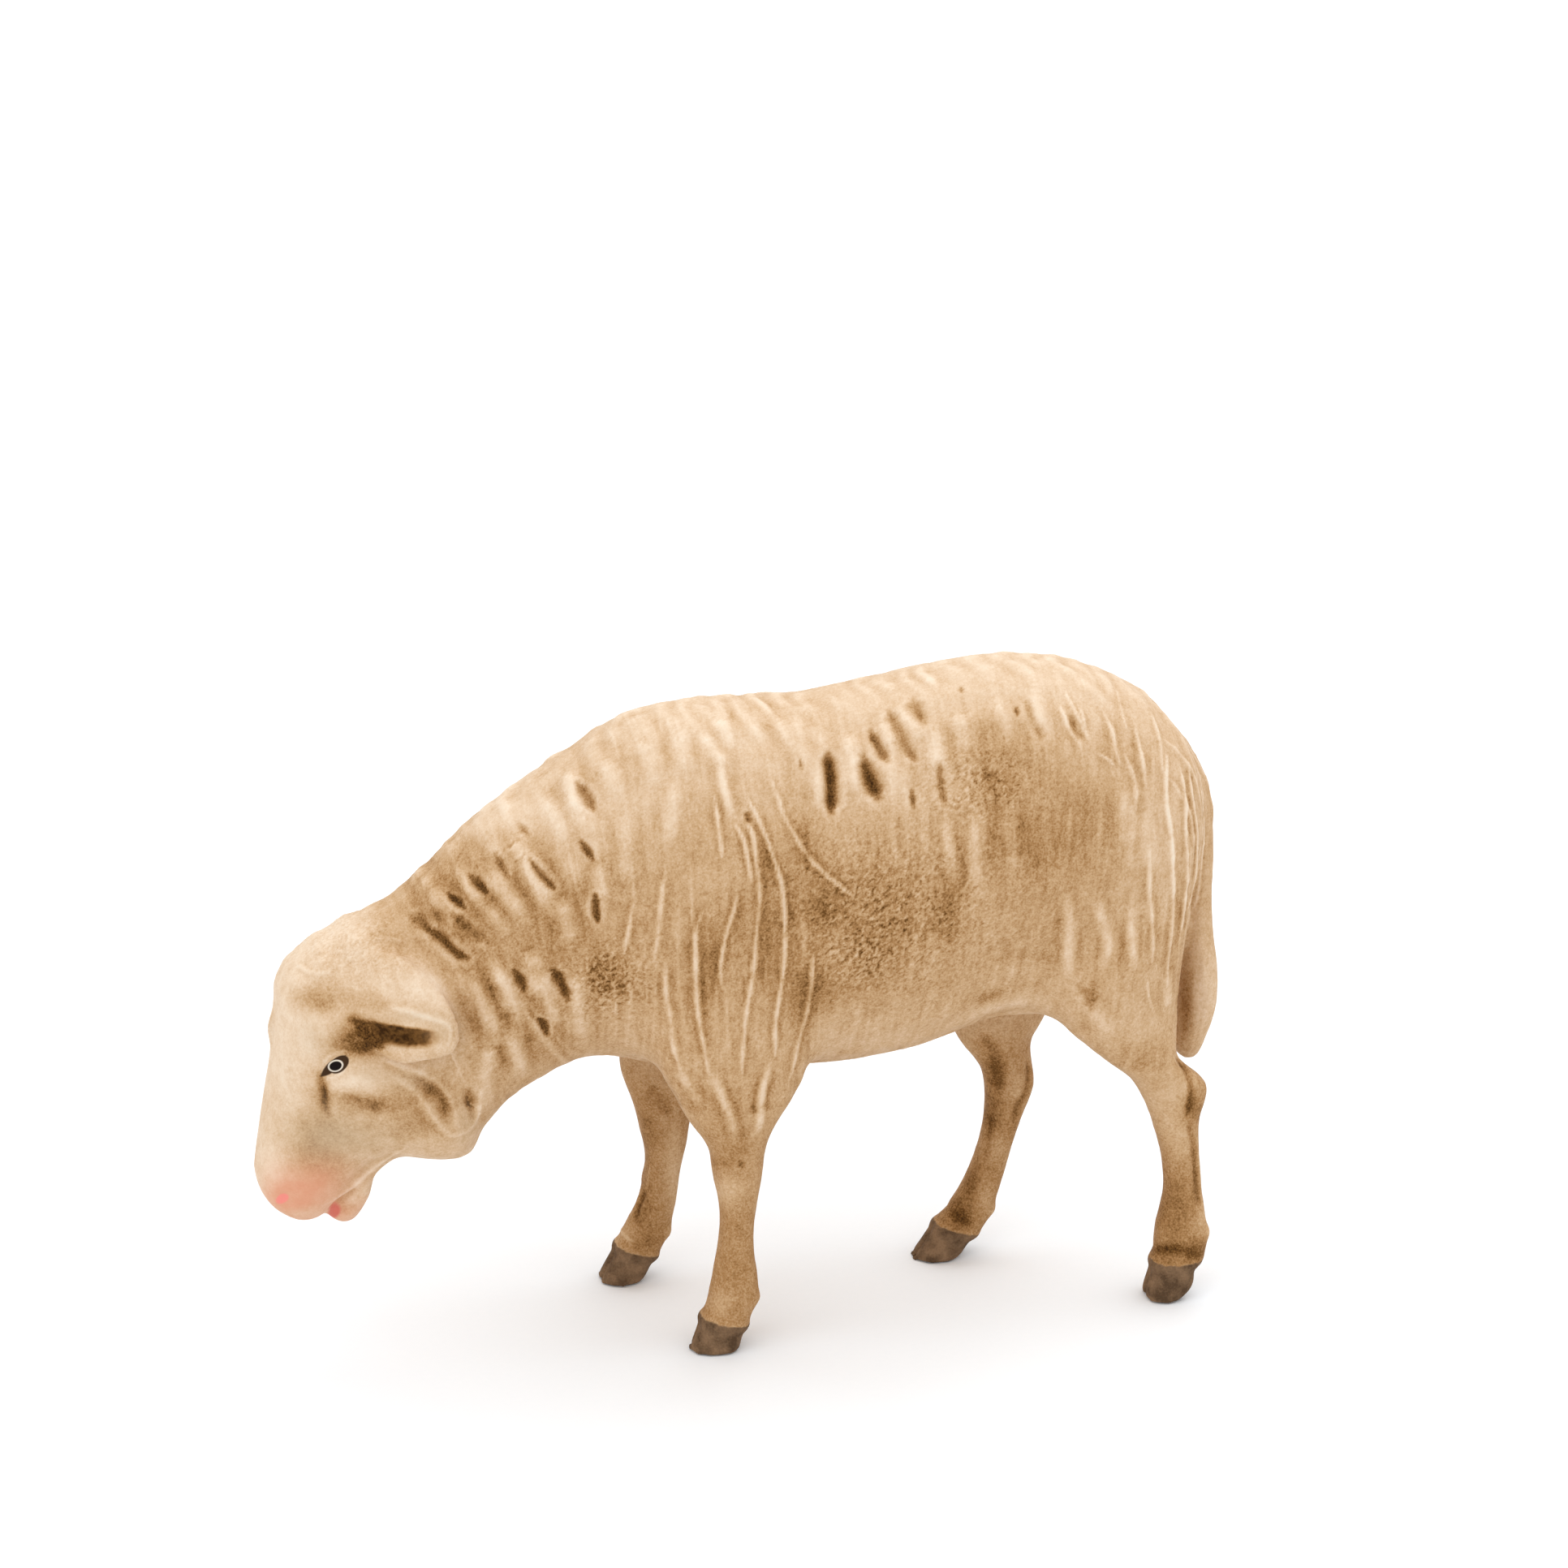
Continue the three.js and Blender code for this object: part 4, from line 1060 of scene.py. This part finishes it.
def makeGrainTree():
    tree = bpy.data.node_groups.new("fleeceGrain", "GeometryNodeTree")

    def socket(name, kind, way="INPUT"):
        tree.interface.new_socket(name, in_out=way, socket_type=f"NodeSocket{kind}")

    socket("Geometry", "Geometry")
    for name in grainMake:
        socket(name, "Int" if name == "Seed" else "Float")
    socket("Paint", "Material")
    socket("Geometry", "Geometry", "OUTPUT")
    given = addNode(tree, "NodeGroupInput").outputs

    def maths(operation, first, second):
        return addNode(tree, "ShaderNodeMath", {0: first, 1: second}, operation=operation).outputs[0]

    def per(name):
        return maths("DIVIDE", 1.0, given[name])

    def named(name, kind="FLOAT"):
        return addNode(tree, "GeometryNodeInputNamedAttribute", {"Name": name}, data_type=kind).outputs["Attribute"]

    def bumps(vector, size, heightOf, detail=1.0, twist=0.0):  # noise that goes up and down by the height
        noise = addNode(tree, "ShaderNodeTexNoise", {
            "Vector": vector, "W": given["Seed"], "Scale": size, "Detail": detail, "Distortion": twist},
            noise_dimensions="4D")
        return maths("MULTIPLY", maths("SUBTRACT", noise.outputs[0], 0.5), maths("MULTIPLY", heightOf, 4.0))

    def flowing(across, along):  # the fleece map squeezed so that patterns run down the flank
        narrow, long = per(across), per(along)
        stretch = addNode(tree, "ShaderNodeCombineXYZ", {0: narrow, 1: long, 2: long}).outputs[0]
        return addNode(tree, "ShaderNodeVectorMath", {0: named("fleeceMap", "FLOAT_VECTOR"), 1: stretch},
                       operation="MULTIPLY").outputs[0]

    place = addNode(tree, "GeometryNodeInputPosition").outputs[0]
    grain = bumps(place, per("Grain Size"), given["Grain Height"], 2.0)
    pebbles = bumps(place, per("Pebble Size"), given["Pebble Height"], twist=2.0)
    uneven = maths("ADD", 1.0, bumps(place, per("Streak Patch"), 1.0))
    streaks = bumps(flowing("Streak Width", "Streak Length"), 1.0, given["Streak Height"], 2.0)
    streaks = maths("MULTIPLY", streaks, uneven)
    lumps = bumps(place, per("Lump Size"), given["Lump Height"])
    wander = maths("ABSOLUTE", bumps(flowing("Strand Gap", "Strand Length"), 1.0, 1.0), 0.0)
    crest = maths("MAXIMUM", maths("SUBTRACT", 1.0, maths("MULTIPLY", wander, 4.0)), 0.0)
    strands = maths("MULTIPLY", maths("MULTIPLY", crest, crest), given["Strand Height"])
    strands = maths("MULTIPLY", maths("MULTIPLY", strands, maths("MAXIMUM", uneven, 0.0)), named("folds"))
    total = maths("MULTIPLY", maths("ADD", maths("ADD", grain, streaks), lumps), named("fleece"))
    total = maths("ADD", total, maths("ADD", strands, maths("MULTIPLY", pebbles, named("pebble"))))
    normal = addNode(tree, "GeometryNodeInputNormal").outputs[0]
    offset = addNode(tree, "ShaderNodeVectorMath", {0: normal, 3: total}, operation="SCALE").outputs[0]
    moved = addNode(tree, "GeometryNodeSetPosition", {"Geometry": given["Geometry"], "Offset": offset})
    whole = addNode(tree, "GeometryNodeRealizeInstances", {"Geometry": moved.outputs[0]})
    painted = addNode(tree, "GeometryNodeSetMaterial", {"Geometry": whole.outputs[0], "Material": given["Paint"]})
    addNode(tree, "NodeGroupOutput", {"Geometry": painted.outputs[0]})
    return tree


def addLayers(mesh, layers):
    for name, values in layers.items():
        kind, field = ("FLOAT_VECTOR", "vector") if values.ndim == 2 else ("FLOAT", "value")
        mesh.attributes.new(name, kind, "POINT").data.foreach_set(field, values.astype(np.float32).ravel())


def grainedSkin(paint):
    addLayers(baseSkin, {"fleece": fleece, "pebble": pebble, "folds": folds, "fleeceMap": fleeceMap})
    setPoints(baseSkin, skinPoints + skinNormals * lift[:, None] * mm)
    holder = addObject("working", baseSkin)
    tree = makeGrainTree()
    change = holder.modifiers.new("fleeceGrain", "NODES")
    change.node_group = tree
    for item in tree.interface.items_tree:
        if item.in_out == "INPUT" and item.name in grainMake:
            change[item.identifier] = grainMake[item.name]
        elif item.name == "Paint":
            change[item.identifier] = paint
    made = evaluated(holder)
    holder.modifiers.clear()
    bpy.data.objects.remove(holder)
    return made


# materials
paintMake = {
    "tones": [(0.0, (234, 219, 198)), (0.2, (227, 204, 178)), (0.4, (210, 180, 147)), (0.55, (192, 157, 117)),
              (0.7, (163, 122, 78)), (0.85, (113, 77, 38)), (1.0, (58, 35, 13))],
    "fleece": {"patches": 0.18, "brush": 0.11, "strands": 0.05},
    "head": {"patches": 0.30, "brush": 0.14, "speck": 0.20},
    "leg": {"patches": 0.14, "brush": 0.05, "speck": 0.16},
    "flow": (1.0, 0.10, 0.12), "mottle": 0.15, "grain": 0.18, "grainInWash": 0.30, "pebble": 0.22,
    "roughness": 0.50, "uneven": 0.18, "gloss": 0.03, "bump": 0.70, "bumpDepth": 0.07 * mm,
    "earShade": 0.91, "earPatches": 0.45, "earSpeck": 0.30, "earSlope": -0.05, "earEdge": (0.62, 0.14),
    "greyShare": 0.6, "pinkShare": 0.8, "pinkPatches": 0.4,
    "pink": (216, 150, 120), "grey": (192, 172, 144), "red": (233, 140, 127), "lipRed": (204, 112, 96),
    "eyeRim": (64, 45, 29), "eyeWhite": (226, 214, 197), "pupil": (25, 19, 20),
    "hoof": [(0.3, (84, 64, 46)), (0.7, (134, 106, 80))],
    "hoofFray": 0.5, "hoofBlur": 0.12, "hoofGrain": 0.4, "hoofDull": 0.12,
}
eyeCentre = (413.3, 1313.8)  # photo pixels
pixelsPerMm = 8.0
eyeMake = {  # place in mm from the eye's centre, turn in degrees, half sizes in mm, blur of the edge
    "rim": (0.49, 0.21, 40, 1.79, 1.17, 0.06),
    "corner": (-0.36, 0.01, 40, 2.60, 0.84, 0.12),
    "white": (0.0, 0.0, 18, 1.20, 0.95, 0.07),
    "pupil": (-0.02, -0.04, 16, 0.97, 0.75, 0.08),
    "nostril": (-8.2, -20.45, 24, 1.02, 0.70, 0.18),
    "mouth": (-0.15, -22.35, 60, 1.15, 0.85, 0.25),
    "earHollow": (10.9, 4.9, -7, 4.7, 1.85, 0.24),
}


def paintStops(stops):
    return [(place, paintColour(shades)) for place, shades in stops]


def castPaint(name, kind):
    material, tree = newMaterial(name)

    def layer(attribute, output="Fac"):
        return addNode(tree, "ShaderNodeAttribute", attribute_name=attribute).outputs[output]

    def maths(operation, first, second=0.0):
        return addNode(tree, "ShaderNodeMath", {0: first, 1: second}, operation=operation).outputs[0]

    def noise(vector, scale, detail, twist=0.0):
        return addNode(tree, "ShaderNodeTexNoise", {
            "Vector": vector, "Scale": scale, "Detail": detail, "Distortion": twist}).outputs[0]

    def around(socket, amount):
        return maths("MULTIPLY", maths("SUBTRACT", socket, 0.5), amount)

    def total(*sockets):
        result = sockets[0]
        for socket in sockets[1:]:
            result = maths("ADD", result, socket)
        return result

    def below(socket, edge, blur):  # 1 under the edge, 0 over it
        return addNode(tree, "ShaderNodeMapRange", {
            "Value": socket, "From Min": edge + blur, "From Max": edge - blur}, clamp=True).outputs[0]

    def blend(share, first, second):
        return addNode(tree, "ShaderNodeMix", {0: share, 6: first, 7: second}, data_type="RGBA").outputs[2]

    def shaped(part):  # the face map in half sizes of a painted spot
        x, y, turn, wide, high, _ = eyeMake[part]
        return addNode(tree, "ShaderNodeMapping", {
            "Vector": layer("facePlace", "Vector"), "Location": (x, y, 0), "Rotation": (0, 0, math.radians(turn)),
            "Scale": (wide, high, 1)}, vector_type="TEXTURE").outputs[0]

    def parted(part):
        return addNode(tree, "ShaderNodeSeparateXYZ", {0: shaped(part)}).outputs

    def roundSpot(part):
        size = addNode(tree, "ShaderNodeVectorMath", {0: shaped(part)}, operation="LENGTH").outputs["Value"]
        return below(size, 1.0, eyeMake[part][-1])

    spot = addNode(tree, "ShaderNodeTexCoord").outputs["Object"]
    flow = addNode(tree, "ShaderNodeVectorMath", {
        0: layer("fleeceMap", "Vector"), 1: paintMake["flow"]}, operation="MULTIPLY").outputs[0]
    mottle, patches = noise(spot, 120.0, 3.0), noise(spot, 420.0, 3.0)
    brush, grain, speck = noise(flow, 1.0, 3.0), noise(spot, 3300.0, 2.0), noise(spot, 1500.0, 2.0)
    base = layer("tone")
    if kind != "leg":
        squiggle = around(noise(spot, 950.0, 1.0, 2.6), paintMake["pebble"])
        base = maths("ADD", base, maths("MULTIPLY", squiggle, layer("pebble")))
    amounts = paintMake[kind]
    grainAmount = maths("ADD", paintMake["grain"], maths("MULTIPLY", base, paintMake["grainInWash"]))
    toned = total(base, around(mottle, paintMake["mottle"]), around(patches, amounts["patches"]),
                  around(grain, grainAmount), around(brush, amounts["brush"]))
    if kind == "fleece":
        toned = total(toned, around(noise(flow, 3.1, 2.0), amounts["strands"]))
    else:
        toned = total(toned, around(speck, amounts["speck"]))
    if kind == "head":  # the ear hollow is painted shade under the ear's rim, laid on as a deeper wash
        along, up, _ = parted("earHollow")
        inEar = maths("MULTIPLY", roundSpot("earHollow"), below(up, *paintMake["earEdge"]))
        depth = total(paintMake["earShade"], around(patches, paintMake["earPatches"]),
                      around(speck, paintMake["earSpeck"]), maths("MULTIPLY", along, paintMake["earSlope"]))
        toned = total(toned, maths("MULTIPLY", inEar, maths("SUBTRACT", depth, toned)))
    colour = colourRamp(tree, toned, paintStops(paintMake["tones"]))
    rough = maths("ADD", paintMake["roughness"], around(patches, paintMake["uneven"]))
    if kind == "head":
        side, height, _ = parted("corner")
        almond = total(maths("ABSOLUTE", height), maths("MULTIPLY", side, side))
        pinkness = maths("ADD", paintMake["pinkShare"], around(patches, paintMake["pinkPatches"]))
        for share, coatName in (
            (maths("MULTIPLY", layer("grey"), paintMake["greyShare"]), "grey"),
            (maths("MULTIPLY", layer("pink"), pinkness), "pink"),
            (roundSpot("nostril"), "red"),
            (roundSpot("mouth"), "lipRed"),
            (maths("MAXIMUM", below(almond, 1.0, eyeMake["corner"][-1]), roundSpot("rim")), "eyeRim"),
            (roundSpot("white"), "eyeWhite"),
            (roundSpot("pupil"), "pupil"),
        ):
            colour = blend(share, colour, paintColour(paintMake[coatName]))
    if kind == "leg":
        fray = paintMake["hoofFray"]
        inHoof = below(total(layer("hoof"), around(speck, fray), around(patches, fray)), 0.0, paintMake["hoofBlur"])
        hoofShade = total(patches, around(grain, paintMake["hoofGrain"]))
        colour = blend(inHoof, colour, colourRamp(tree, hoofShade, paintStops(paintMake["hoof"])))
        rough = maths("ADD", rough, maths("MULTIPLY", inHoof, paintMake["hoofDull"]))
    raised = addNode(tree, "ShaderNodeBump", {
        "Strength": paintMake["bump"], "Distance": paintMake["bumpDepth"], "Height": total(grain, speck)}).outputs[0]
    coat(tree, {
        "Base Color": colour, "Roughness": rough, "Normal": raised, "Specular IOR Level": paintMake["gloss"]})
    return material


innerMake = {  # scale of the pattern along x, y and z, its two colours, roughness, metal
    "wire": ((900, 900, 60), (118, 114, 108), (152, 148, 141), 0.42, 1.0),
    "bareWood": ((90, 900, 900), (196, 156, 100), (224, 188, 134), 0.75, 0.0),
    "barePulp": ((700, 700, 700), (186, 176, 152), (210, 201, 180), 0.95, 0.0),
}


def innerFinish(name):
    scale, first, second, rough, metal = innerMake[name]
    material, tree = newMaterial(name)
    spot = addNode(tree, "ShaderNodeTexCoord").outputs["Object"]
    turned = addNode(tree, "ShaderNodeMapping", {"Vector": spot, "Scale": scale}).outputs[0]
    fibre = addNode(tree, "ShaderNodeTexNoise", {"Vector": turned, "Scale": 1.0, "Detail": 4.0}).outputs[0]
    shade = colourRamp(tree, fibre, paintStops([(0.3, first), (0.7, second)]))
    raised = addNode(tree, "ShaderNodeBump", {"Strength": 0.3, "Distance": 0.1 * mm, "Height": fibre}).outputs[0]
    coat(tree, {"Base Color": shade, "Roughness": rough, "Metallic": metal, "Normal": raised})
    return material


paints = {kind: castPaint(f"{kind}Paint", kind) for kind in ("fleece", "head", "leg")}
finishes = {name: innerFinish(name) for name in innerMake}
print("finishes mixed")

# the brown wash lies in the hollows, where it also stands in as painted shade, and comes off the ridges, which are
# painted paler, partly as a painted highlight
glazeAndShadeMake = {
    "trunk": 0.55, "head": 0.345, "zones": 0.55, "tan": 0.04, "ridge": 0.16, "cut": 0.60,
    "fine": 0.10, "fineRounds": 3, "fineDepth": 0.05, "broad": 0.14, "broadRounds": 16, "broadDepth": 0.16,
    "legHollows": 0.5, "headHollows": 0.45, "cutCover": 1.6, "soften": 0.72, "softRange": 0.26,
    "neck": (-7 * mm, 9 * mm), "neckRounds": 50, "legTop": (30, 41),
}
legGlaze = {"front_left": 0.61, "front_right": 0.62, "hind_left": 0.66, "hind_right": 0.66}
figureSkin = grainedSkin(paints["fleece"])
figurePoints, figureNormals = aboveFloor(meshPoints(figureSkin)), pointNormals(figureSkin)


def hollowness(points, rounds):
    return ((relax(points, skinEdges, rounds, keepSize=False) - points) * skinNormals).sum(1) / mm


def hollowShare(kind):
    rounds = glazeAndShadeMake[f"{kind}Rounds"]
    depth = hollowness(figurePoints, rounds) - hollowness(skinPoints, rounds)
    return glazeAndShadeMake[kind] * np.clip(depth / glazeAndShadeMake[f"{kind}Depth"], -1, 1)


onHead = np.maximum(easeStep(forward(skinPoints), *glazeAndShadeMake["neck"]) * ~isLeg, isEar)
onHead = spread(onHead, skinEdges, glazeAndShadeMake["neckRounds"])
tone = glazeAndShadeMake["trunk"] + (glazeAndShadeMake["head"] - glazeAndShadeMake["trunk"]) * onHead
for name, amount in legGlaze.items():
    tone[isGroup(f"{name}_leg")] = amount
legTop = isLeg * easeStep(height, *glazeAndShadeMake["legTop"])
tone += (glazeAndShadeMake["trunk"] - tone) * legTop + glazeAndShadeMake["zones"] * washAndShade + glazeAndShadeMake["tan"] * tan
hollows = hollowShare("fine") + hollowShare("broad")
hollows *= np.where(isLeg, glazeAndShadeMake["legHollows"], np.where(isHead, glazeAndShadeMake["headHollows"], 1.0))
hollows *= 1 - np.clip(glazeAndShadeMake["cutCover"] * dark, 0, 1)
tone += hollows + glazeAndShadeMake["cut"] * dark - glazeAndShadeMake["ridge"] * pale
over = (tone - glazeAndShadeMake["soften"]) / glazeAndShadeMake["softRange"]
tone = np.where(over > 0, glazeAndShadeMake["soften"] + glazeAndShadeMake["softRange"] * np.tanh(over), tone)
facePlace = np.concatenate([(leftPhoto - eyeCentre) / pixelsPerMm * [1, -1], np.zeros((pointCount, 1))], 1)
paintLayers = {
    "fleece": {"tone": tone, "fleeceMap": fleeceMap, "pebble": pebble},
    "head": {"tone": tone, "fleeceMap": fleeceMap, "facePlace": facePlace, "pebble": pebble, **tints},
    "leg": {"tone": tone, "fleeceMap": fleeceMap, "hoof": hoofGap},
}
print("grain raised, tone between", round(tone.min(), 2), "and", round(tone.max(), 2))

# the skin falls into its castings, each closed where it meets its neighbours
loopNext = np.arange(len(loopPoint)) + 1
loopNext[faceStart + faceSize - 1] = faceStart
loopFace = np.repeat(np.arange(len(faceStart)), faceSize)
edgeKey = loopPoint.astype(np.int64) * pointCount + loopPoint[loopNext]
backKey = loopPoint[loopNext].astype(np.int64) * pointCount + loopPoint
keyOrder = np.argsort(edgeKey)
oppositeLoop = keyOrder[np.searchsorted(edgeKey[keyOrder], backKey)]
acrossGroup = faceGroup[loopFace[oppositeLoop]]


def borderLoops(group):
    border = np.flatnonzero((faceGroup[loopFace] == group) & (acrossGroup != group))
    after = {}
    for loop in border:
        after.setdefault(int(loopPoint[loop]), []).append(int(loop))
    rings = []
    while after:
        ring, here = [], next(iter(after))
        while here in after:
            loop = after[here].pop()
            if not after[here]:
                del after[here]
            ring.append(loop)
            here = int(loopPoint[loopNext[loop]])
        rings.append(ring)
    return rings


def fan(starts, ends, extra, caps):  # triangles round a new middle point
    middle = pointCount + len(extra)
    extra.append(figurePoints[np.concatenate([starts, ends])].mean(0))
    caps.extend((int(b), int(a), middle) for a, b in zip(starts, ends))
    return middle


def closeRing(ring, group, extra, caps):
    first, last = loopPoint[ring], loopPoint[loopNext[ring]]
    left, right = pieceNumber["left_body"], pieceNumber["right_body"]
    onSeam = acrossGroup[ring] == {left: right, right: left}.get(group, 0)
    if not onSeam.any():
        fan(first, last, extra, caps)
        return
    turn = int(np.flatnonzero(onSeam & ~np.roll(onSeam, 1))[0])
    first, last, onSeam = (np.roll(values, -turn) for values in (first, last, onSeam))
    outline, at = [], 0
    while at < len(first):
        outline.append(int(first[at]))
        if onSeam[at]:
            at += 1
            continue
        end = at
        while end < len(first) and not onSeam[end]:
            end += 1
        middle = fan(first[at:end], last[at:end], extra, caps)
        caps.append((int(first[at]), int(last[end - 1]), middle))
        at = end
    flat = [Vector((figurePoints[i][0], figurePoints[i][2], 0)) for i in outline]
    for corners in geometry.tessellate_polygon([flat]):
        a, b, c = (outline[k] for k in corners)
        normal = np.cross(figurePoints[b] - figurePoints[a], figurePoints[c] - figurePoints[a])[1]
        caps.append((a, b, c) if (normal > 0) == (group == left) else (a, c, b))


def makePiece(name, paint, slotName, node):
    group = pieceNumber[name]
    extra, caps = [], []
    for ring in borderLoops(group):
        closeRing(ring, group, extra, caps)
    faces = np.flatnonzero(faceGroup == group)
    own = [loopPoint[s:s + n] for s, n in zip(faceStart[faces], faceSize[faces])]
    used, local = np.unique(np.concatenate(own), return_inverse=True)
    place = np.full(pointCount + len(extra), -1)
    place[used] = np.arange(len(used))
    place[pointCount:] = len(used) + np.arange(len(extra))
    starts = np.concatenate([[0], np.cumsum(faceSize[faces])])
    polygons = [local[a:b].tolist() for a, b in zip(starts[:-1], starts[1:])]
    polygons += [[int(place[i]) for i in cap] for cap in caps]
    points = np.concatenate([figurePoints[used], np.array(extra).reshape(-1, 3)])
    mesh = bpy.data.meshes.new(name)
    mesh.from_pydata(points.tolist(), [], polygons)
    mesh.materials.append(paints[paint])
    mesh.materials.append(finishes["barePulp"])
    inner = np.arange(len(polygons)) >= len(faces)
    mesh.polygons.foreach_set("material_index", inner.astype(np.int32))
    mesh.polygons.foreach_set("use_smooth", ~inner)
    addLayers(mesh, {key: np.concatenate([values[used], np.zeros((len(extra),) + values.shape[1:])])
                     for key, values in paintLayers[paint].items()})
    mesh.update()
    capNormals = np.array([p.normal for p in mesh.polygons[len(faces):]]).reshape(-1, 3)
    turns = np.concatenate([figureNormals[used][local], np.repeat(capNormals, 3, axis=0)])
    mesh.normals_split_custom_set(turns.tolist())
    piece = addObject(name, mesh)
    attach(piece, "root")
    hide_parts(node)
    print(name, len(polygons), "faces,", sum(len(p) - 2 for p in polygons), "triangles")


for name, (paint, slotName, node) in castPieces.items():
    makePiece(name, paint, slotName, node)
innerNodes = {
    "wire": [f"{name}_leg_core" for name in legNames] + ["tail_pin"],
    "bareWood": ["neck_dowel", "shoulder_block", "hip_block"],
    "barePulp": ["back_seam_strip", "belly_seam_strip"],
}
for finish, names in innerNodes.items():
    for name in names:
        mesh = cadNodes[name].data
        mesh.materials.clear()
        mesh.materials.append(finishes[finish])
